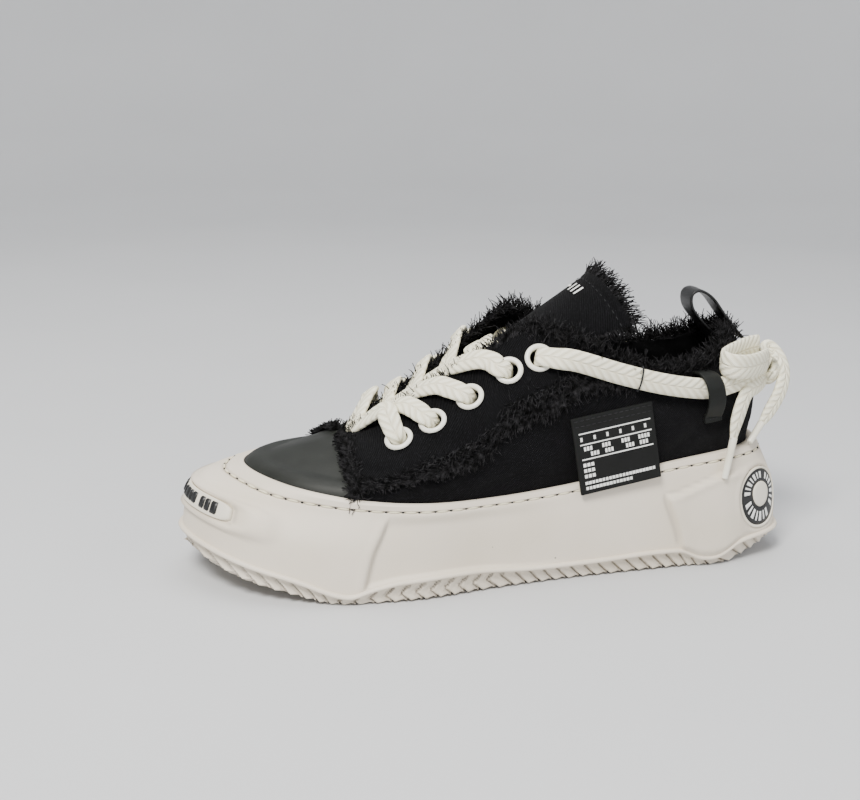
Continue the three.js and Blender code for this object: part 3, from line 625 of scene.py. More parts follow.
# %% Lacing over the tongue
def lace_bar():
    """The lowest lace lies straight across, over the first crossing and a little ahead of its eyelets."""
    places = []
    for side in (1, -1):
        edge, down = over_edge(side, 0.5, 1.0, 7.4), over_edge(side, 0.74, 0.5, 6.4)
        half = [on_tongue(0.5, 0.2 * side, 5.4), edge, down] + dive(side, 1, down[0] - edge[0])
        places = half[::-1] + [on_tongue(0.5, 0, 5.4)] if side > 0 else places + half
    widths = [0.7, 0.74, 0.84, 0.94] + [1] * 7 + [0.94, 0.84, 0.74, 0.7]
    return ribbon(places, LACE_WIDTH, LACE_THICKNESS, 70, widths)[0]


def lace_strand(side, row, raised, later):
    """One half of a crossing: from under the other edge straight over, then back along its side to an eyelet."""
    start = [on_tongue(row + 0.22 + later, -0.8 * side, 0.8), on_tongue(row + 0.2 + later, -0.45 * side, 2.2)]
    middle = on_tongue(row + 0.08 + later, 0, LACE_THICKNESS / 2 + 0.6 + raised)
    edge, down = over_edge(side, row + 0.02 + later, 1.0), over_edge(side, row + 0.48, 0.5, 4.3)
    places = start + [middle, edge, down] + dive(side, row + 1, down[0] - edge[0])
    return ribbon(places, LACE_WIDTH, LACE_THICKNESS, 56, [0.5, 0.9, 1, 1, 1, 0.94, 0.82, 0.74, 0.7])[0]


def top_strand(side, raised, later):
    """The top crossing goes under the edge, on its way to the last eyelet."""
    start = [on_tongue(4.22 + later, -0.8 * side, 0.8), on_tongue(4.2 + later, -0.45 * side, 2.2)]
    middle = on_tongue(4.08 + later, 0, LACE_THICKNESS / 2 + 0.6 + raised)
    places = start + [middle, on_tongue(4.2 + later, 0.45 * side, 2.2), on_tongue(4.34 + later, 0.8 * side, 0.6)]
    return ribbon(places, LACE_WIDTH, LACE_THICKNESS, 30, [0.5, 0.9, 1, 0.95, 0.5])[0]


piece("lace_bar_braid", lace_bar(), braid, ["lace_bar"])
for row in (1, 2, 3):
    pair = joined([lace_strand(1, row, 2.4, 0.0), lace_strand(-1, row, 0.0, 0.24)])
    piece(f"lace_crossing_{row}", pair, braid, [f"lace_cross_{row}"])
piece("lace_crossing_4", joined([top_strand(1, 2.4, 0.0), top_strand(-1, 0.0, 0.24)]), braid, ["lace_cross_4"])

# %% [markdown]
# ### The free lace
# From the top eyelets the braid is free: two runs to the knot, one flat bow loop that lies forward on the
# outer side, and two ends of unequal length in plastic tips.

# %% Routes of the free lace
KNOT_CENTRE = (-143.7, 12.2, 95.5)
RUN_LATERAL = [[-13.2, 34.6, 112.8], [-30, 41.4, 108.8], [-52, 43.6, 102], [-75, 43.8, 96], [-98, 42, 92.4],
               [-114, 37.6, 93.6], [-127, 30, 95.2], [-136.2, 20.2, 95.3], [-141, 14.5, 95.4]]
RUN_MEDIAL = [[-13.2, -34.4, 112.8], [-30, -40.8, 108.8], [-52, -42.4, 102], [-75, -42.4, 96], [-98, -40.4, 92.4],
              [-114, -36.4, 93.6], [-129, -28.8, 95.2], [-141, -15.6, 95.2], [-146, -1.5, 95.3], [-145, 8, 95.4]]
LOOP = [[-141.5, 15.5, 98.5], [-138.8, 21.2, 100.2], [-131, 30.5, 101.2], [-121, 38.8, 101.8], [-113, 43.2, 102.8],
        [-107.6, 42.6, 103.8], [-106.8, 37.6, 104.8], [-111.5, 32.6, 105.4], [-119.5, 26, 105.8], [-130, 17.5, 105.8],
        [-138.5, 11.5, 105]]
END_LONG = [[-142, 15, 92.5], [-137.5, 20.5, 89], [-130, 29.5, 88.8], [-121.5, 36.5, 87.5], [-115.5, 40.5, 76],
            [-113.5, 41.5, 65]]
END_LONG_TIP = [-108.5, 45, 46.5]
END_SHORT = [[-144.5, 8, 100], [-148.5, 5, 102.6], [-153, 9, 98], [-153.5, 14.5, 90.5], [-148.5, 20.5, 82],
             [-140, 26.5, 74], [-134, 30, 68.7]]
END_SHORT_TIP = [-126.5, 34, 61]
END_FACE = Vector((-0.26, 0.96, 0.1))


# %% The knot: three turns of the braid pulled tight round the crossing
def knot_turn(centre, axis, radius, stretch, width):
    axis = Vector(axis).normalized()
    first = axis.orthogonal().normalized()
    second = axis.cross(first)
    places = []
    for k in range(13):
        turn = 2 * math.pi * k / 12
        spoke = first * math.cos(turn) * stretch + second * math.sin(turn)
        drift = axis * (k / 12 - 0.5) * 3.0
        places.append((Vector(centre) + spoke * radius + drift, spoke))
    return ribbon(places, width, 3.4, 40)[0]


turns_of_braid = [knot_turn(KNOT_CENTRE, (0.5, 0.85, 0.2), 4.6, 1.0, 9.0),
                  knot_turn((-142, 15, 97.5), (0.8, -0.6, 0.5), 4.0, 1.15, 8.0),
                  knot_turn((-144.5, 13.5, 92.5), (0.1, 0.5, 1), 4.2, 1.1, 7.5)]
knot = piece("lace_knot_braid", joined(turns_of_braid), braid, ["lace_knot"])


# %% Runs and loop
def faced(points, normal_at):
    """Pairs each point of a path with the normal of the braid's face there."""
    spots = [Vector(p) for p in points]
    return [(p, normal_at(p, (spots[min(i + 1, len(spots) - 1)] - spots[max(i - 1, 0)]).normalized()))
            for i, p in enumerate(spots)]


def free_run(side, points):
    a, b = eyelet_spot(side, 5)
    centre, normal = upper_point(a, b), normal_of(upper_point, a, b)
    back = (Vector(points[1]) - centre)
    back = (back - normal * back.dot(normal)).normalized()
    out = [(centre - back * 0.6 - normal * 4.5, -back), (centre - back * 0.8 + normal * 0.6, normal - back * 2),
           (centre + back * 1.2 + normal * 3.6, normal * 2 - back * 0.6)]
    rest = faced(points[1:], lambda p, t: (t.cross(Z_AXIS) * side).normalized())
    return out + [(centre + back * 8 + normal * 4.3, normal)] + rest


def declared(name, places, width, thickness, count, cad, widths=None, **facts):
    shape, path = ribbon(places, width, thickness, count, widths)
    thing = piece(name, shape, braid, [cad])
    return path


run_widths = [0.78, 0.8, 0.9] + [1] * 9
lateral_path = declared("lace_run_outer", free_run(1, RUN_LATERAL), LACE_WIDTH, LACE_THICKNESS, 96,
                        "lace_run_lateral", run_widths, far_end="knot", lay="taut", with_pieces=[knot])
declared("lace_run_inner", free_run(-1, RUN_MEDIAL), LACE_WIDTH, LACE_THICKNESS, 96, "lace_run_medial",
         run_widths + [1], far_end="knot", lay="taut")
loop_places = faced(LOOP, lambda p, t: t.cross(Z_AXIS).normalized())
declared("lace_bow_loop", loop_places, BOW_WIDTH, FREE_THICKNESS, 90, "lace_loop", far_end="knot", lay="hanging")


# %% Ends with their tips
def lace_tip(name, path, tip_end):
    """A tip is a short plastic tube rolled round the last of the braid."""
    end = path[-1]
    axis = (metres(tip_end) - end).normalized()
    length = (metres(tip_end) - end).length + 1.5 * MM
    bm = bmesh.new()
    turned = Z_AXIS.rotation_difference(axis).to_matrix().to_4x4()
    bmesh.ops.create_cone(bm, cap_ends=True, segments=20, radius1=1.95 * MM, radius2=1.6 * MM, depth=length,
                          matrix=Matrix.Translation(end + axis * (length / 2 - 1.5 * MM)) @ turned)
    rims = [e for e in bm.edges if len(e.link_faces) == 2 and e.calc_face_angle(0) > 1]
    bmesh.ops.bevel(bm, geom=rims, offset=0.4 * MM, affect="EDGES", segments=3, profile=0.5, material=-1)
    return piece(name, bm, tip_plastic)


def lace_end(name, points, tip_end, cad, widths):
    places = faced(points, lambda p, t: END_FACE - t * t.dot(END_FACE))
    shape, path = ribbon(places, END_WIDTH, FREE_THICKNESS, 56, widths)
    thing = piece(name, shape, braid, [cad])
    tip = lace_tip(name + "_tip", path, tip_end)


lace_end("lace_end_long", END_LONG, END_LONG_TIP, "lace_end_1", [1, 1, 1, 1, 0.95, 0.45])
lace_end("lace_end_short", END_SHORT, END_SHORT_TIP, "lace_end_2", [1, 1, 1, 1, 1, 0.9, 0.45])


# %% [markdown]
# A thin black thread is looped once round the outer run, where the label's spare thread was knotted.

# %% Thread round the lace
LOOPED_X = -61.0
near = min(range(len(lateral_path)), key=lambda i: abs(lateral_path[i].x / MM - SHIFT.x - LOOPED_X))
spot = lateral_path[near] / MM - SHIFT
heading = (lateral_path[near + 1] - lateral_path[near - 1]).normalized()
flat = heading.cross(Z_AXIS).normalized()
upright = heading.cross(flat)
thread_ring = []
for k in range(17):
    turn = 2 * math.pi * k / 16
    spoke = flat * math.cos(turn) * (LACE_THICKNESS / 2 + 0.7) + upright * math.sin(turn) * (LACE_WIDTH / 2 + 0.8)
    thread_ring.append((spot + spoke + heading * 0.5 * math.sin(turn), spoke))
piece("lace_thread", ribbon(thread_ring, 0.8, 0.8, 40, around_steps=8)[0], sewing_thread)

# %% [markdown]
# ## The cup sole
# A cup sole is moulded in one piece: a wall round the last, a thin lip above a sewn groove, a bumper that
# wraps the toe and ends in a step, a raised block at each side of the heel and beds for the toe plate and the
# badge. Its wall is the second surface, and the mould's relief is a height added along the normal.

# %% Relief of the wall
TOE_PLATE = {"a": 10, "b": 1.2, "wide": 0.93, "high": 0.33, "power": 5}
HEEL_BADGE = {"a": 1.44, "b": 0.92, "wide": 0.5, "high": 0.74, "power": 2}


def groove_b(a):
    """The sewn groove runs round below the lip, and comes up close to the toe cap at the front."""
    return mix(2.36, 2.6, smooth(8.5, 9.7, min(a, STATIONS - a)))


def ring_share(shape, a, b):
    """0 at the middle of a rounded shape on the wall and 1 at its edge."""
    da, db = abs(a - shape["a"]) / shape["wide"], abs(b - shape["b"]) / shape["high"]
    return (da ** shape["power"] + db ** shape["power"]) ** (1 / shape["power"])


def bumper_relief(a, b):
    """Behind the toe bumper's step the wall lies lower, and comes back up towards the arch."""
    near = min(a, STATIONS - a)
    edge = mix(7.52, 7.34, smooth(-0.3, 1.7, b))
    behind = smooth(edge + 0.02, edge - 0.02, near) * smooth(4.6, 7.0, near) * smooth(2.15, 1.55, b)
    behind *= smooth(-0.02, 0.16, b)
    # painted shade along the foot of the bumper's step
    crease = bell(near, edge, 0.03) * smooth(2.0, 1.5, b)
    ridge = 0.5 * bell(near, edge + 0.06, 0.05) * smooth(2.0, 1.5, b) * smooth(-0.2, 0.3, b)
    return ridge - 2.0 * behind, 0.45 * crease


def heel_block_relief(a, b):
    near = min(a, STATIONS - a)
    front = mix(2.99, 3.25, smooth(0.1, 1.35, b))
    top = mix(1.68, 1.3, smooth(2.2, 3.25, near))
    inside = smooth(front + 0.06, front - 0.03, near) * smooth(top + 0.12, top - 0.03, b) * smooth(1.5, 2.3, near)
    brink = smooth(front + 0.3, front - 0.02, near) * smooth(front - 0.3, front - 0.02, near)
    lip = smooth(top - 0.25, top - 0.03, b) * smooth(top + 0.1, top - 0.03, b)
    # painted shade along the block's front foot and along the step just above its top
    foot = bell(near, front + 0.07, 0.035) * smooth(top + 0.2, top, b) * smooth(0.05, 0.3, b)
    crest = bell(b, top + 0.13, 0.05) * smooth(front + 0.08, front, near) * smooth(2.3, 2.6, near)
    inside *= mix(0.4, 1.0, smooth(0.0, 0.2, b))
    return (2.9 + 0.6 * max(brink, lip)) * inside, 0.4 * max(foot, crest)


def sewn_groove_relief(a, b):
    middle = groove_b(a)
    # the second value is painted shade in the sewn groove
    return 0.4 * smooth(middle, middle + 0.12, b) - 0.85 * bell(b, middle, 0.065), 0.6 * bell(b, middle, 0.05)


def bed_relief(a, b):
    toe = ring_share(TOE_PLATE, a, b)
    heel = ring_share(HEEL_BADGE, a, b)
    swell = 2.4 * bell(toe, 1.3, 0.2) - 0.6 * smooth(1.12, 1.0, toe)
    dish = 0.5 * bell(heel, 1.16, 0.1) - 1.0 * smooth(1.08, 0.98, heel)
    # painted shade round the edges of the plate's and badge's beds and at the outer foot of the toe plate's collar
    bed_edge_shade = 0.3 * bell(toe, 1.06, 0.04) + 0.14 * bell(toe, 1.6, 0.1) + 0.3 * bell(heel, 1.03, 0.04)
    return swell + dish, bed_edge_shade


# each relief gives a height in mm and a painted-shade amount
def cup_relief(a, b):
    parts = [bumper_relief(a, b), heel_block_relief(a, b), sewn_groove_relief(a, b), bed_relief(a, b)]
    return sum(p[0] for p in parts), min(sum(p[1] for p in parts), 1.0)


# %% Build the cup
WALL_ROWS = [k * 0.042 for k in range(6)] + [0.252 + k * 0.085 for k in range(23)]
WALL_ROWS += [2.2 + k * 0.035 for k in range(16)] + [2.79, 2.85, 2.91, 2.96, 3.0]
LIP_DEPTHS = [0.3, 0.62, 0.88]
INNER_ROWS = [1.0, 0.93, 0.8, 0.6]


def lip_offset(a):
    """The lip's inner edge hugs the canvas, and gives way where the toe cap tucks in."""
    near = min(a, STATIONS - a)
    return mix(0.25, 1.75, smooth(7.8, 8.02, near))


def cup_place(u, v):
    a = u * STATIONS
    row = round(v * (len(WALL_ROWS) + len(LIP_DEPTHS) + len(INNER_ROWS) - 1))
    if row < len(WALL_ROWS):
        height, shade = cup_relief(a, WALL_ROWS[row])
        return cup_at(a, WALL_ROWS[row], height) + Z_AXIS * (rib_wave(a) * smooth(0.85, 0.0, WALL_ROWS[row])), shade
    inner = upper_at(a, 1.0, lip_offset(a))
    row -= len(WALL_ROWS)
    if row < len(LIP_DEPTHS):
        outer = cup_at(a, 3.0, cup_relief(a, 3.0)[0])
        crown = 0.5 * math.sin(math.pi * LIP_DEPTHS[row])
        return outer.lerp(inner, LIP_DEPTHS[row]) + Z_AXIS * crown, 0.0
    b = INNER_ROWS[row - len(LIP_DEPTHS)]
    # painted shade on the inside of the lip, down towards the canvas
    return upper_at(a, b, lip_offset(a)), 0.6


cup_rows = len(WALL_ROWS) + len(LIP_DEPTHS) + len(INNER_ROWS) - 1
piece("cup_sole", mapped_grid(900, cup_rows, cup_place), rubber, ["midsole"])

# %% [markdown]
# The sole is sewn on through the groove: long stitches lie in it, and the shade in each needle hole is painted as a
# dark dot.

# %% Sole stitches
STITCH = 7.6


def along_row(surface, b_at, spacing, lift):
    """Places at equal spacing right round a surface, at the row b_at(a): point, direction, normal."""
    steps = 900
    places, run = [], 0.0
    stations = [STATIONS * (k / steps) for k in range(steps + 1)]
    before = surface(0, b_at(0))
    for a in stations[1:]:
        here = surface(a, b_at(a))
        run += (here - before).length
        if run >= spacing:
            normal = normal_of(surface, a, b_at(a))
            places.append((here + normal * lift, here - before, normal))
            run = 0.0
        before = here
    return places


sole_places = along_row(cup_point, groove_b, STITCH, -0.25)
piece("sole_stitches", beads(sole_places, STITCH * 0.84, 1.2), braid)
# painted shade: a small bead of black thread material stands in for the shade in each needle hole
needle_hole_shade = [(p + d.normalized() * STITCH / 2, d, n) for p, d, n in sole_places]
piece("needle_hole_shade_dots", beads(needle_hole_shade, 1.3, 0.9, -0.05), sewing_thread)

# %% [markdown]
# ## The outsole
# Under the cup a bead of rubber follows a wave, and below it the tread is cut into slanted lugs like scales.
# From the ball to the arch each lug is bent like an arrowhead that points to the toe; behind that only its
# lower half is left. One phase, counted along the shoe, drives the flanks and the grooves of the underside.

# %% Tread
LUG_PITCH = 7.3
CHEVRON = 9.0
SLANT = 0.95
BEAD_ROWS = [(-0.1, -1.6), (-0.3, 0.0), (-0.25, 1.0), (0.2, 1.7), (0.9, 2.0), (1.6, 1.7), (2.0, 0.9), (2.1, -0.3)]
SIDE_SHARES = [0.0, 0.09, 0.18, 0.27, 0.36, 0.45, 0.54, 0.63, 0.72, 0.81, 0.9, 0.96, 1.0]
UNDER_SHARES = [0.03, 0.07, 0.13, 0.2, 0.3, 0.42, 0.56, 0.72, 0.87, 1.0]


def notch(x, slope=0.6):
    """1 in the groove at the toe side of each lug, falling away slowly over the lug behind it."""
    f = (x / LUG_PITCH) % 1.0
    return smooth(0.16, 0.04, f) + smooth(0.93, 1.0, f) * 0.8 + slope * (1 - f) * smooth(0.1, 0.3, f)


def bend_share(x):
    """How high up the flank the arrowheads bend: 1 where only the lower half shows."""
    return mix(1.0, 0.5, smooth(-4, 22, x)) if x < 84 else mix(0.5, 1.0, smooth(84, 100, x))


def tread_place(u, v):
    a = u * STATIONS
    rim = around(RIB_RING, a)
    ahead = around(RIB_RING, a + 0.02) - around(RIB_RING, a - 0.02)
    out = Vector((-ahead.y, ahead.x, 0)).normalized()
    row = round(v * (len(BEAD_ROWS) + len(SIDE_SHARES) + len(UNDER_SHARES) - 1))
    top = rib_height(rim.x)
    ground = tread_height(rim.x)
    if row < len(BEAD_ROWS):
        drop, swell = BEAD_ROWS[row]
        # painted shadow lines at the top and the foot of the bead
        return Vector((rim.x, rim.y, top - drop)) + out * swell, 0.6 if row in (0, len(BEAD_ROWS) - 1) else 0.0
    row -= len(BEAD_ROWS)
    height = top - 2.1 - ground
    bend, toe = bend_share(rim.x), smooth(86, 108, rim.x)
    if row < len(SIDE_SHARES):
        share = SIDE_SHARES[row]
        slant = abs((1 - share) - bend) * height * SLANT
        cut = min(notch(rim.x + slant, mix(0.6, 0.9, toe)), 1.1) * smooth(0.0, 0.12, share)
        inward = 0.5 + 0.9 * share + 1.9 * smooth(0.85, 1.0, share) ** 2 + mix(2.9, 3.6, toe) * cut - 0.6
        lift = mix(2.0, 2.6, toe) * cut * smooth(0.7, 1.0, share)
        place = rim - out * inward
        place.z = top - 2.1 - height * share + lift
        # painted shade in the grooves between the lugs, stronger at the toe
        return place, mix(0.6, 0.75, toe) * smooth(0.45, 1.0, cut)
    share = UNDER_SHARES[row - len(SIDE_SHARES)]
    other = around(RIB_RING, STATIONS - a)
    middle = (rim + other) / 2
    edge = rim - out * 3.2
    place = edge.lerp(middle, share)
    cut = min(notch(rim.x + bend * height * SLANT + CHEVRON * share), 1.0)
    place.z = tread_height(place.x) + 2.4 * cut * smooth(1.0, 0.9, share)
    # painted shade in the grooves of the underside
    return place, 0.5 * cut


tread_rows = len(BEAD_ROWS) + len(SIDE_SHARES) + len(UNDER_SHARES) - 1
tread = mapped_grid(1300, tread_rows, tread_place, flip=False)
bmesh.ops.recalc_face_normals(tread, faces=tread.faces)
piece("lugged_outsole", tread, rubber, ["outsole"])

# %% [markdown]
# ## The upper
# The upper is one shell of heavy canvas, raw at every edge. Its outer face is the last's own surface; a wall
# of 2 mm is added inwards with the lining on the inside. A worn shoe is never smooth, so creases are laid in
# one by one: each is a soft trough along a line, with a low ridge beside it where the spare cloth goes.

# %% Creases, laid in one by one
STATION_MM, ROW_MM = 34.0, 20.0
CREASES = [  # from (a, b) to (a, b), half width and depth in mm
    ((7.75, 1.15), (7.3, 2.3), 3.2, 0.9), ((7.35, 1.05), (6.75, 2.2), 4.0, 1.2), ((6.95, 1.2), (6.2, 1.9), 3.4, 0.9),
    ((6.5, 1.05), (5.6, 1.5), 4.5, 1.0), ((5.9, 1.9), (5.1, 2.3), 4.0, 0.8), ((5.2, 1.2), (4.5, 2.5), 5.0, 0.9),
    ((4.4, 2.9), (3.5, 2.2), 5.5, 1.4), ((3.9, 3.7), (3.1, 3.0), 4.5, 1.5), ((3.2, 1.3), (2.7, 2.4), 4.5, 1.2),
    ((2.9, 3.8), (2.2, 3.1), 4.0, 1.5), ((2.2, 1.5), (1.5, 2.3), 4.5, 1.3), ((1.9, 3.6), (1.1, 3.0), 4.5, 1.4),
    ((1.2, 1.3), (0.7, 2.7), 4.0, 1.0), ((0.9, 3.5), (0.35, 2.8), 3.5, 1.0), ((4.9, 3.4), (4.1, 3.1), 4.0, 1.0),
    ((6.2, 3.0), (5.6, 2.6), 4.0, 0.8), ((7.1, 2.8), (6.5, 2.5), 3.6, 0.8), ((8.1, 2.6), (7.6, 2.2), 3.2, 0.7),
    ((12.3, 1.2), (12.8, 2.3), 3.4, 1.0), ((12.8, 1.1), (13.5, 2.0), 4.2, 1.2), ((13.6, 1.1), (14.6, 1.8), 4.6, 1.1),
    ((14.8, 1.3), (15.4, 2.5), 5.0, 1.0), ((15.6, 2.9), (16.6, 2.2), 5.4, 1.4), ((16.2, 3.7), (17.0, 3.0), 4.4, 1.5),
    ((16.9, 1.4), (17.5, 2.4), 4.6, 1.2), ((17.2, 3.8), (17.9, 3.2), 4.2, 1.5), ((17.9, 1.5), (18.6, 2.4), 4.4, 1.3),
    ((18.2, 3.6), (19.0, 2.9), 4.4, 1.3), ((18.9, 1.3), (19.4, 2.6), 4.0, 1.0), ((13.4, 2.8), (14.2, 2.4), 4.0, 0.8),
    ((12.2, 2.8), (12.9, 2.4), 3.6, 0.7), ((15.0, 3.4), (15.9, 3.1), 4.0, 1.0),
]


def crease_height(a, b):
    height = 0.0
    for (a0, b0), (a1, b1), width, depth in CREASES:
        x, y = (a - a0) * STATION_MM, (b - b0) * ROW_MM
        if abs(x) > 60 or abs(y) > 60:
            continue
        dx, dy = (a1 - a0) * STATION_MM, (b1 - b0) * ROW_MM
        length = math.hypot(dx, dy)
        t = (x * dx + y * dy) / length ** 2
        aside = (x * dy - y * dx) / length + 1.4 * math.sin(3 * t)
        fade = math.exp(-((t - 0.5) / 0.48) ** 4)
        height += depth * fade * (0.55 * bell(aside, 1.8 * width, width) - bell(aside, 0, width))
    return height


def worn(a, b):
    """The upper with its creases; they fade out at the sole's lip."""
    return upper_at(a, b, crease_height(a, b) * smooth(0.95, 1.4, b) * 0.75)


def worn_at(a, b, offset=0.0):
    return worn(a, b) + normal_of(upper_point, a, b) * offset


# %% Shell of the upper
def upper_place(u, v):
    a, b = u * STATIONS, mix(0.5, 4.0, v)
    ragged = 0.35 * math.sin(a * 11.3) + 0.3 * math.sin(a * 23.7 + 1.0)
    return worn_at(a, b) + Z_AXIS * ragged * smooth(3.8, 4.0, b)


def settled(thing):
    """Applies the live modifiers."""
    graph = bpy.context.evaluated_depsgraph_get()
    mesh = bpy.data.meshes.new_from_object(thing.evaluated_get(graph), preserve_all_data_layers=True, depsgraph=graph)
    thing.modifiers.clear()
    thing.data = mesh


def punched(thing):
    """Cuts the ten eyelet holes through a piece that already has its wall."""
    cutters = bmesh.new()
    for side in (1, -1):
        for row in range(1, 6):
            a, b = eyelet_spot(side, row)
            turned = Z_AXIS.rotation_difference(normal_of(upper_point, a, b)).to_matrix().to_4x4()
            spot = Matrix.Translation(metres(upper_point(a, b)))
            bmesh.ops.create_cone(cutters, cap_ends=True, segments=24, radius1=5 * MM, radius2=5 * MM, depth=14 * MM,
                                  matrix=spot @ turned)
    mesh = bpy.data.meshes.new("punches")
    cutters.to_mesh(mesh)
    cutters.free()
    tool = bpy.data.objects.new("punches", mesh)
    bpy.context.scene.collection.objects.link(tool)
    modifier = thing.modifiers.new("needle_hole_shade", "BOOLEAN")
    modifier.object = tool
    modifier.operation = "DIFFERENCE"
    modifier.solver = "EXACT"
    settled(thing)
    bpy.data.objects.remove(tool)
    return thing


shell = piece("upper_shell", mapped_grid(300, 48, upper_place, (700, 90)), [canvas, lining], ["upper"],
              wall=2.0)
punched(shell)

# %% [markdown]
# ### The eyelet panel
# A second layer of canvas runs from the toe cap along the eyelets to the collar. Its lower edge is cut, sewn
# down with a double row and left to fray. It is a strip of the same surface, 1 mm prouder.

# %% Panel border, and the toe cap's rear seam
TOE_CAP_REAR = 75.5
BORDER = [(3.9, 3.72), (4.5, 3.55), (4.98, 3.26), (5.38, 2.9), (6.1, 2.62), (6.3, 2.2), (7.09, 2.07), (7.6, 1.75),
          (8.05, 1.56)]


def border_b(a):
    a = min(max(a, BORDER[0][0]), BORDER[-1][0])
    k = max(i for i in range(len(BORDER) - 1) if BORDER[i][0] <= a)
    (a0, b0), (a1, b1) = BORDER[k], BORDER[k + 1]
    return mix(b0, b1, (a - a0) / (a1 - a0)) + 0.02 * math.sin(a * 17)


def seam_station(b):
    low, high = 7.4, 9.9
    for _ in range(24):
        middle = (low + high) / 2
        low, high = (middle, high) if upper_point(middle, b).x < TOE_CAP_REAR else (low, middle)
    return low


SEAM = [seam_station(0.5 + k * 0.1) for k in range(36)]


def seam_a(b):
    spot = min(max((b - 0.5) / 0.1, 0), 34.999)
    return mix(SEAM[int(spot)], SEAM[int(spot) + 1], spot - int(spot))


def panel_place(side):
    def place(u, v):
        first = mix(3.9, 8.05, u)
        b = mix(border_b(first), 4.0, v)
        a = mix(3.9, seam_a(b) - 0.02, u)
        proud = mix(1.35, 0.75, smooth(0, 0.4, v)) * smooth(1.0, 0.9, v) + 0.4 * smooth(0.9, 1.0, v)
        spot = sided(side, a)
        rise = upper_point(spot, 4) - upper_point(spot, 3.9)
        return worn_at(spot, b, proud) + rise.normalized() * (3.0 * smooth(0.93, 1.0, v) * smooth(5.3, 6.2, a))
    return place


for side, name in ((1, "outer"), (-1, "inner")):
    grid = turned_to(mapped_grid(130, 26, panel_place(side), (150, 45), flip=side < 0), Vector((0, side, 0)))
    punched(piece(f"eyelet_panel_{name}", grid, canvas, wall=0.9))

# %% Rows of stitching along the border
for side, name in ((1, "outer"), (-1, "inner")):
    rows = []
    for inset in (0.1, 0.2):
        stops = [(sided(side, a), min(border_b(a) + inset, 3.96)) for a in [4.0 + k * 0.2 for k in range(20)]]
        rows += along_line(worn, stops, 3.4, 1.15)
    piece(f"panel_stitches_{name}", beads(rows, 2.7, 0.55), sewing_thread)

# %% [markdown]
# ## Toe cap and heel strip
# Both are cut from thin coated leather and lasted with the canvas: they go down behind the sole's lip, and
# their edges are folded, so they get a wall and a rounded edge.

# %% Leather overlays
OVERLAY = 1.2


def toe_cap_place(u, v):
    b = mix(0.75, 4.0, v)
    a = mix(seam_a(b), STATIONS - seam_a(b), u)
    return worn_at(a, b, 1.5 - 0.5 * smooth(0.93, 1.0, v))


def heel_strip_place(u, v):
    return worn_at(mix(-0.34, 0.34, u), mix(0.6, 3.99, v), 1.5)


piece("toe_cap_leather", mapped_grid(110, 40, toe_cap_place), toe_leather, ["toe_cap"], OVERLAY, 0.3)
piece("heel_strip_leather", mapped_grid(14, 44, heel_strip_place), strap_leather, ["heel_strip"], OVERLAY,
      0.3)
strip_rows = []
for a in (-0.26, 0.26):
    strip_rows += along_line(worn, [(a, 1.1), (a, 3.9)], 3.2, 1.6)
piece("heel_strip_stitches", beads(strip_rows, 2.4, 0.5), sewing_thread)

# %% [markdown]
# ## Inside: the footbed
# Inside lies a removable footbed. It is dished at the heel and rises a little at its edge.

# %% Footbed
def footbed_place(u, v):
    a = u * STATIONS
    edge, other = (upper_at(spot, 0.2, -2.7) for spot in (a, STATIONS - a))
    point = ((edge + other) / 2).lerp(edge, v)
    point.z = floor_height(point.x) + 4.3 - 0.8 * (1 - v ** 2) + 0.9 * smooth(0.85, 1.0, v)
    return point


footbed = turned_to(mapped_grid(160, 14, footbed_place, (600, 40)), Z_AXIS)
piece("footbed", footbed, lining, ["insole"], wall=3.0)

# %% [markdown]
# ## The tongue
# A flap of the same canvas, doubled, rolls over the instep and stands up above the collar. A fold is sewn
# across just under its top, where small marks are printed; they are plain bars and say nothing.

# %% Tongue and its marks
def tongue_place(u, v):
    s, t = u, 2 * v - 1
    fold = -0.5 * bell(s, 0.955, 0.006) + 0.35 * smooth(0.955, 0.975, s)
    sag = 0.9 * math.sin(3.1 * t + 7 * s) * smooth(0.62, 0.95, s) * abs(t)
    ragged = 0.003 * math.sin(t * 31) * smooth(0.97, 1.0, s)
    return tongue_point(min(s + ragged, 1.0), t, fold + sag)


tongue = turned_to(mapped_grid(120, 36, tongue_place, (165, 60), flip=False), Z_AXIS)
piece("tongue_flap", tongue, canvas, ["tongue"], wall=2.6, rounding=0.4)
fold_rows = along_line(lambda a, b: tongue_point(a, b, 0.2), [(0.945, -0.96), (0.945, 0.96)], 3.2)
piece("tongue_stitches", beads([(p, d, TONGUE_RISE) for p, d, _ in fold_rows], 2.4, 0.5), sewing_thread)


def tongue_mark(s0, s1, t0, t1):
    """A small printed bar: a grid laid on the tongue."""
    return mapped_grid(6, 3, lambda u, v: tongue_point(mix(s0, s1, u), mix(t0, t1, v), 0.55), flip=False)


tongue_marks = [tongue_mark(0.875, 0.915, t, t + 0.035) for t in (-0.02, 0.08, 0.18)]
tongue_marks.append(tongue_mark(0.89, 0.9, -0.2, -0.08))
piece("tongue_marks", turned_to(joined(tongue_marks), TONGUE_RISE), white_ink, wall=0.12)

# %% [markdown]
# ## Eyelets
# An eyelet is a pressed ring. Its profile, from the barrel over the rolled rim to the flange, is drawn once
# as a chain of points and spun round the hole's axis; ten copies are turned to the upper's own normals.

# %% Spin the rings
RING_PROFILE = [(4.55, -2.3), (4.5, 0.8), (4.72, 1.35), (5.2, 1.72), (5.85, 1.82), (6.5, 1.55), (6.92, 1.05),
                (7.0, 0.62), (6.6, 0.45), (5.3, 0.45), (5.2, -2.3)]


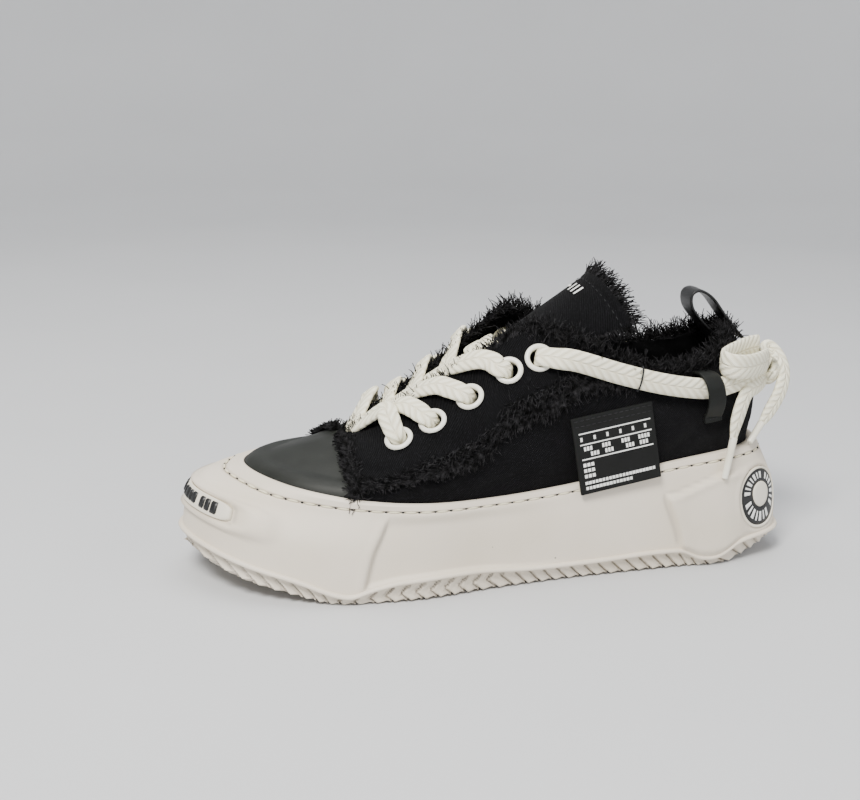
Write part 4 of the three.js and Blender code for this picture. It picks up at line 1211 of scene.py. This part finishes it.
def eyelet_ring():
    bm = bmesh.new()
    chain = [bm.verts.new((r * MM, 0, h * MM)) for r, h in RING_PROFILE]
    edges = [bm.edges.new(pair) for pair in zip(chain, chain[1:] + chain[:1])]
    bmesh.ops.spin(bm, geom=chain + edges, cent=(0, 0, 0), axis=(0, 0, 1), angle=2 * math.pi, steps=40,
                   use_merge=True)
    bmesh.ops.remove_doubles(bm, verts=bm.verts, dist=1e-6)
    bmesh.ops.recalc_face_normals(bm, faces=bm.faces)
    return bm


for side, name in ((1, "lateral"), (-1, "medial")):
    for row in range(1, 6):
        a, b = eyelet_spot(side, row)
        ring = eyelet_ring()
        turned = Z_AXIS.rotation_difference(normal_of(upper_point, a, b)).to_matrix().to_4x4()
        bmesh.ops.transform(ring, matrix=Matrix.Translation(metres(upper_at(a, b, 0.7))) @ turned, verts=ring.verts)
        piece(f"ring_{name}_{row}", ring, ivory_enamel, [f"eyelet_{name}_{row}"])

# %% [markdown]
# ## Straps
# Two leather keepers hold the lace against the quarters, and a folded strap at the heel is the pull loop.

# %% Keepers
def keeper_places(side):
    a = sided(side, 2.55)
    places = []
    for k in range(15):
        share = k / 14
        bulge = 9 * math.sin(math.pi * share ** 1.6) ** 0.7 if 0 < share < 1 else 0.0
        b = mix(2.4, 3.85, share)
        places.append([upper_at(a, b, 1.25 + bulge), None])
    for k, spot in enumerate(places):
        run = places[min(k + 1, 14)][0] - places[max(k - 1, 0)][0]
        forward = normal_of(upper_point, a, 3).cross(Z_AXIS)
        spot[1] = run.cross(forward).normalized()
        if spot[1].dot(normal_of(upper_point, a, 3)) < 0:
            spot[1].negate()
    return places


for side, name in ((1, "lateral"), (-1, "medial")):
    strap = ribbon(keeper_places(side), 9.2, 1.5, 48, around_steps=20, square=0.25)[0]
    piece(f"keeper_strap_{name}", strap, strap_leather, [f"keeper_{name}"])
    a = sided(side, 2.55)
    foot = [(upper_at(a, b, 2.6), normal_of(upper_point, a, b)) for b in (2.36, 2.42, 2.5, 2.58, 2.66)]
    piece(f"keeper_fold_{name}", ribbon(foot, 9.4, 1.5, 12, around_steps=20, square=0.25)[0], strap_leather)
    tacks = along_line(lambda p, q: upper_at(p, q, 3.5), [(a - 0.1, 2.48), (a + 0.1, 2.48)], 1.7)
    piece(f"keeper_stitches_{name}", beads(tacks, 1.3, 0.5), sewing_thread)

# %% Pull loop
PULL_LOOP = [[-133.4, 108.4], [-128.4, 113.6], [-122, 121], [-115, 129.6], [-108, 133.6], [-103.4, 131.6],
             [-104, 125], [-110, 117.4], [-117.5, 110.6], [-123.5, 104.6]]
loop_spots = [Vector((x, 0, z)) for x, z in PULL_LOOP]
loop_faces = []
for k, spot in enumerate(loop_spots):
    run = loop_spots[min(k + 1, len(loop_spots) - 1)] - loop_spots[max(k - 1, 0)]
    loop_faces.append((spot, Vector((0, 1, 0)).cross(run).normalized()))
piece("pull_strap", ribbon(loop_faces, 13, 1.5, 70, around_steps=24, square=0.25)[0], loop_leather, ["pull_loop"])

# %% [markdown]
# ## Toe plate and badge
# Both are moulded apart and glued into beds in the sole's wall. A polar grid on the wall's own surface gives
# the rounded outline; the height over the radius gives the raised rim. Their real wording is left out: the
# plate has rows of plain black blocks and the badge a ring of ticks.

# %% Inlays on the wall
def inlay(shape, rings, spokes, height_at):
    def place(u, v):
        turn = 2 * math.pi * u
        c, s = math.cos(turn), math.sin(turn)
        power = shape["power"]
        reach = v / (abs(c) ** power + abs(s) ** power) ** (1 / power)
        a, b = shape["a"] + shape["wide"] * reach * c, shape["b"] + shape["high"] * reach * s
        return cup_at(a, b, height_at(v))

    return mapped_grid(spokes, rings, place, flip=False)


def wall_facing(bm, shape):
    """Turns an open sheet so that its faces look out of the wall."""
    return turned_to(bm, normal_of(cup_point, shape["a"], shape["b"]))


def plate_height(v):
    return 1.55 - 1.9 * smooth(0.93, 1.0, v) ** 2


piece("toe_plate_face", wall_facing(inlay(TOE_PLATE, 24, 160, plate_height), TOE_PLATE), plate_rubber, ["toe_plate"],
      wall=0.6)


def block(shape, a0, a1, b0, b1, height, lift=0.0):
    def place(u, v):
        a, b = mix(a0, a1, u), mix(b0, b1, v)
        edge = min(u, 1 - u, v, 1 - v)
        return cup_at(a, b, lift + height * smooth(0, 0.2, edge))
    return wall_facing(mapped_grid(6, 6, place), shape)


def blocks_between(first, last, count):
    """Plain upright blocks of uneven width, side by side."""
    shares = [random.uniform(0.7, 1.3) for _ in range(count)]
    edge, made = first, []
    for share in shares:
        wide = share / sum(shares) * (last - first)
        a0 = TOE_PLATE["a"] - edge * TOE_PLATE["wide"]
        made.append(block(TOE_PLATE, a0, a0 - 0.86 * wide * TOE_PLATE["wide"], 0.99, 1.41, 1.0, 1.5))
        edge += wide
    return made


blocks = blocks_between(-0.8, -0.1, 6) + blocks_between(0.0, 0.4, 4) + blocks_between(0.47, 0.8, 3)
piece("toe_plate_blocks", joined(blocks), black_rubber)


def badge_height(v):
    rim = 1.2 * smooth(1.0, 0.97, v) * smooth(0.87, 0.92, v)
    hub = 1.1 * smooth(0.42, 0.38, v)
    return -0.35 + rim + hub + 0.22 * smooth(0.36, 0.3, v)


piece("heel_badge_rim", wall_facing(inlay(HEEL_BADGE, 40, 72, badge_height), HEEL_BADGE), plate_rubber,
      ["heel_badge"], wall=0.6)


def band_place(u, v):
    turn = 2 * math.pi * u
    reach = mix(0.38, 0.9, v)
    a = HEEL_BADGE["a"] + HEEL_BADGE["wide"] * reach * math.cos(turn)
    b = HEEL_BADGE["b"] + HEEL_BADGE["high"] * reach * math.sin(turn)
    return cup_at(a, b, 0.35)


piece("heel_badge_band", wall_facing(mapped_grid(72, 6, band_place, flip=False), HEEL_BADGE), black_rubber,
      wall=0.6)


def tick(turn, half):
    """A raised bar on the badge's band, turned about its middle and half as wide as half says."""
    def place(u, v):
        angle, reach = turn + mix(-half, half, u), mix(0.52, 0.78, v)
        a = HEEL_BADGE["a"] + HEEL_BADGE["wide"] * reach * math.cos(angle)
        b = HEEL_BADGE["b"] + HEEL_BADGE["high"] * reach * math.sin(angle)
        return cup_at(a, b, 0.5 + 0.25 * smooth(0, 0.25, min(u, 1 - u, v, 1 - v)))

    return wall_facing(mapped_grid(4, 4, place), HEEL_BADGE)


# every eighth place stays empty, so that the ring falls into three groups
ticks = [tick(2 * math.pi * (k + 0.5) / 24, 0.05 if k % 2 else 0.085) for k in range(24) if k % 8 != 7]
piece("heel_badge_ticks", joined(ticks), white_ink)

# %% [markdown]
# ## The side label
# A thick woven-look rubber label hangs from the quarter over the sole's lip. Its size chart is left out; long
# lines and rows of small bars keep the print's rhythm.

# %% Label
LABEL_CENTRE = Vector((-50.3, 44.4, 65.6))
LABEL_TURN = Matrix.Rotation(0.06, 4, "X") @ Matrix.Rotation(0.166, 4, "Y")
LABEL_MATRIX = Matrix.Translation(metres(LABEL_CENTRE)) @ LABEL_TURN


def label_slab(width, thick, height, across=0.0, up=0.0, out=0.0, rounding=0.0):
    """A slab in the label's own frame: across counts from the toe side, as one reads it."""
    bm = bmesh.new()
    size = Matrix.Diagonal((width * MM, thick * MM, height * MM, 1))
    spot = Matrix.Translation(Vector((-across, out, up)) * MM)
    bmesh.ops.create_cube(bm, size=1, matrix=LABEL_MATRIX @ spot @ size)
    if rounding:
        bmesh.ops.bevel(bm, geom=bm.edges[:], offset=rounding * MM, affect="EDGES", segments=2, profile=0.5,
                        material=-1)
    return bm


label = label_slab(42, 1.4, 38.5, rounding=0.45)
bmesh.ops.subdivide_edges(label, edges=label.edges[:], cuts=2, use_grid_fill=True)
piece("label_sheet", label, label_rubber, ["side_label"], sharp=True)
prints = []
for up in (11.1, 5.6, -1.8):
    prints.append(label_slab(37, 0.12, 0.6, 0.3, up, 0.74))
for row_up, tall, starts in ((8.3, 2.0, (-17.2, -10.4, -3.8, 2.9, 9.4, 15.8)), (3.4, 2.0, (-16, -6.6, 3.4, 12.2)),
                             (0.5, 2.0, (-12.8, -5.4, 5.4, 12.6))):
    for start in starts:
        for k in range(1 if row_up > 5 else random.choice((3, 4))):
            prints.append(label_slab(1.1, 0.12, tall, start + 1.55 * k, row_up, 0.74))
for row_up in (-4.6, -7.4, -10.2):
    for k in range(3):
        prints.append(label_slab(1.5, 0.12, 1.7, -17.2 + 2.0 * k, row_up, 0.74))
for row_up, count in ((-13.6, 21), (-16.2, 14)):
    for k in range(count):
        prints.append(label_slab(random.choice((1.3, 1.5)), 0.12, 1.5, -17.4 + 1.75 * k, row_up, 0.74))
piece("label_print", joined(prints), white_ink, sharp=True)
label_rows = [(LABEL_CENTRE + LABEL_TURN @ Vector((x, 0.8, z)), LABEL_TURN @ Vector((1, 0, 0)),
               LABEL_TURN @ Vector((0, 1, 0))) for z in (17.6, 14.8) for x in [-19 + 2.9 * k for k in range(14)]]
piece("label_stitches", beads(label_rows, 2.2, 0.5), sewing_thread)

# %% [markdown]
# ## Frayed edges
# Every raw edge of the canvas is brushed out into loose yarn. Each strand walks over the surface from its
# root, bending as it goes and lifting off, or stands out past a top edge. Thousands of them are drawn as thin
# tapered curves, made into one mesh for each edge.

# %% Yarn strands
def yarn_mesh(name, strands, thickness):
    data = bpy.data.curves.new(name, "CURVE")
    data.dimensions = "3D"
    data.bevel_depth = thickness / 2 * MM
    data.bevel_resolution = 0
    data.use_fill_caps = True
    for points in strands:
        spline = data.splines.new("POLY")
        spline.points.add(len(points) - 1)
        for k, point in enumerate(points):
            spline.points[k].co = (*metres(point), 1)
            spline.points[k].radius = 1.0 - 0.45 * k / (len(points) - 1)
    holder = bpy.data.objects.new(name, data)
    bpy.context.scene.collection.objects.link(holder)
    graph = bpy.context.evaluated_depsgraph_get()
    mesh = bpy.data.meshes.new_from_object(holder.evaluated_get(graph), depsgraph=graph)
    bpy.data.objects.remove(holder)
    return mesh


def lying_strand(root, heading, length, lift, curl, wild=0.0):
    """A strand that walks over the upper from (a, b); heading is an angle, 0 to the toe and 90 degrees up."""
    (a, b), turn = root, heading
    points, height = [], lift * 0.4
    step = length / 4
    for k in range(5):
        points.append(upper_at(a, b, height))
        a += step * math.cos(turn) / STATION_MM * (1 if root[0] <= 10 else -1)
        b = min(b + step * math.sin(turn) / ROW_MM, 3.99)
        turn += curl * random.uniform(0.3, 1.4)
        height += (lift + wild * k) * random.uniform(0.1, 0.6)
    return points


def standing_strand(point, out, normal, length, curl):
    """A strand that stands out past an edge and curls over."""
    points, step = [], length / 4
    heading = out.normalized()
    side = heading.cross(normal)
    bend = Vector((random.gauss(0, 1), random.gauss(0, 1), random.gauss(0, 0.7) - 0.35)) * curl
    heading = (heading + side * random.gauss(0, 0.35) + normal * random.gauss(0.15, 0.3)).normalized()
    for k in range(5):
        points.append(point.copy())
        point = point + heading * step
        heading = (heading + bend * 0.3 + side * random.gauss(0, 0.12)).normalized()
    return points


def stops_between(first, last, count):
    return [mix(first, last, (k + random.random()) / count) for k in range(count)]


# %% Yarn over the toe cap and under the panel's border
for side, name in ((1, "outer"), (-1, "inner")):
    strands = []
    for b in stops_between(1.05, 3.95, 760):
        root = (sided(side, seam_a(b) - 0.05), b)
        strands.append(lying_strand(root, random.gauss(-0.1, 0.5), random.uniform(5.5, 11), 1.9,
                                    random.gauss(0, 0.55), 0.3))
    for a in stops_between(3.95, 8.0, 900):
        root = (sided(side, a), border_b(a) + random.uniform(-0.02, 0.06))
        strands.append(lying_strand(root, random.gauss(-1.45, 0.45), random.uniform(5, 10), 1.2,
                                    random.gauss(0, 0.4), 0.2))
    for a in stops_between(4.6, 7.9, 420):
        root = (sided(side, a), border_b(a) + random.uniform(0.08, 0.3))
        strands.append(lying_strand(root, random.gauss(-1.2, 0.9), random.uniform(3, 6), 1.6,
                                    random.gauss(0, 0.6), 0.4))
    piece(f"panel_fringe_{name}", yarn_mesh("yarn", strands, 0.62), yarn)

# %% Yarn along the throat and round the collar
for side, name in ((1, "outer"), (-1, "inner")):
    strands = []
    for a in stops_between(5.8, 9.2, 1250):
        spot = sided(side, a)
        up = upper_point(spot, 4) - upper_point(spot, 3.9)
        root = worn_at(spot, 3.98, random.uniform(-1.4, 1.0)) + up.normalized() * random.uniform(0.5, 2.8)
        strands.append(standing_strand(root, up, normal_of(upper_point, spot, 3.95), random.uniform(4, 9.5), 0.7))
    for a in stops_between(0.0, 5.9, 1150):
        spot = sided(side, a)
        b = random.choice((4.0, 4.0, 3.9, 3.75))
        up = upper_point(spot, 4) - upper_point(spot, 3.9)
        normal = normal_of(upper_point, spot, 3.95)
        out = up.normalized() + normal * random.uniform(-0.1, 0.9 if b < 4 else 0.4)
        strands.append(standing_strand(worn_at(spot, b - 0.02, random.uniform(-1.6, 0.6)), out, normal,
                                       random.uniform(5.0, 12.5), 0.6))
    piece(f"collar_fringe_{name}", yarn_mesh("yarn", strands, 0.6), yarn)

# %% Yarn on the tongue
strands = []
for t in stops_between(-0.98, 0.98, 480):
    edge = tongue_point(1.0, t, random.uniform(-1.8, 0.4))
    out = edge - tongue_point(0.96, t, 0)
    strands.append(standing_strand(edge, out, TONGUE_RISE, random.uniform(3.5, 9.5), 0.35))
for s in stops_between(0.6, 1.0, 220):
    for t in (-1, 1):
        edge = tongue_point(s, t, random.uniform(-1.6, 0.2))
        strands.append(standing_strand(edge, edge - tongue_point(s, 0.9 * t, 0), TONGUE_RISE,
                                       random.uniform(2.5, 6), 0.4))
piece("tongue_fringe", yarn_mesh("yarn", strands, 0.6), yarn)

# %% [markdown]
# ## Floor and light
# The shoe stands on a plain pale sweep that curves up into a wall behind it. A big soft light hangs high on
# the toe's side, a weaker one fills from the heel, and a pale sky fills the rest.

# %% Sweep
def make_sweep():
    """A round floor whose rim is swept up into a wall, spun from one profile."""
    bm = bmesh.new()
    profile = [(0.0, 0.0), (1.2, 0.0), (1.45, 0.02), (1.66, 0.1), (1.78, 0.24), (1.84, 0.45), (1.86, 2.4)]
    chain = [bm.verts.new((r, 0, h)) for r, h in profile]
    edges = [bm.edges.new(pair) for pair in zip(chain, chain[1:])]
    bmesh.ops.spin(bm, geom=chain + edges, cent=(0, 0, 0), axis=(0, 0, 1), angle=2 * math.pi, steps=96,
                   use_merge=True)
    bmesh.ops.remove_doubles(bm, verts=bm.verts, dist=1e-5)
    turned_to(bm, Z_AXIS)
    mesh = bpy.data.meshes.new("studio_sweep")
    bm.to_mesh(mesh)
    bm.free()
    mesh.shade_smooth()
    material, tree, shader = finish_of("pale_grey_paper", Roughness=0.95, Specular_IOR_Level=0.1)
    place = node(tree, "TexCoord", {}, "Object")
    fibre = node(tree, "TexNoise", {"Vector": place, "Scale": 6.0, "Detail": 3.0})
    base = node(tree, "Mix", {0: fibre, 6: colour("#c6c7c9"), 7: colour("#cccdcf")}, 2, data_type="RGBA")
    dressed(tree, shader, base, fibre, 0.05, 0.1)
    mesh.materials.append(material)
    sweep = bpy.data.objects.new("studio_sweep", mesh)
    bpy.context.scene.collection.objects.link(sweep)
    return sweep


print("sweep", len(make_sweep().data.polygons), "faces")


# %% Lights
def soft_light(name, place, target, size, power, tint):
    data = bpy.data.lights.new(name, "AREA")
    data.shape = "RECTANGLE"
    data.size, data.size_y = size
    data.energy = power
    data.color = colour(tint)[:3]
    light = bpy.data.objects.new(name, data)
    light.location = place
    light.rotation_euler = (Vector(target) - Vector(place)).to_track_quat("-Z", "Y").to_euler()
    bpy.context.scene.collection.objects.link(light)
    return light


soft_light("key_light", (0.62, 0.85, 1.3), (0, 0, 0.05), (0.5, 0.5), 41, "#fffdf8")
soft_light("fill_light", (-1.1, 0.85, 0.9), (0, 0, 0.05), (1.1, 0.8), 6, "#f8faff")
soft_light("top_light", (0.0, -0.3, 1.5), (0, 0, 0.0), (1.2, 1.2), 15, "#ffffff")
world = bpy.data.worlds.new("pale_sky")
world.use_nodes = True
world.node_tree.nodes["Background"].inputs["Color"].default_value = colour("#eef0f4")
world.node_tree.nodes["Background"].inputs["Strength"].default_value = 0.48
bpy.context.scene.world = world
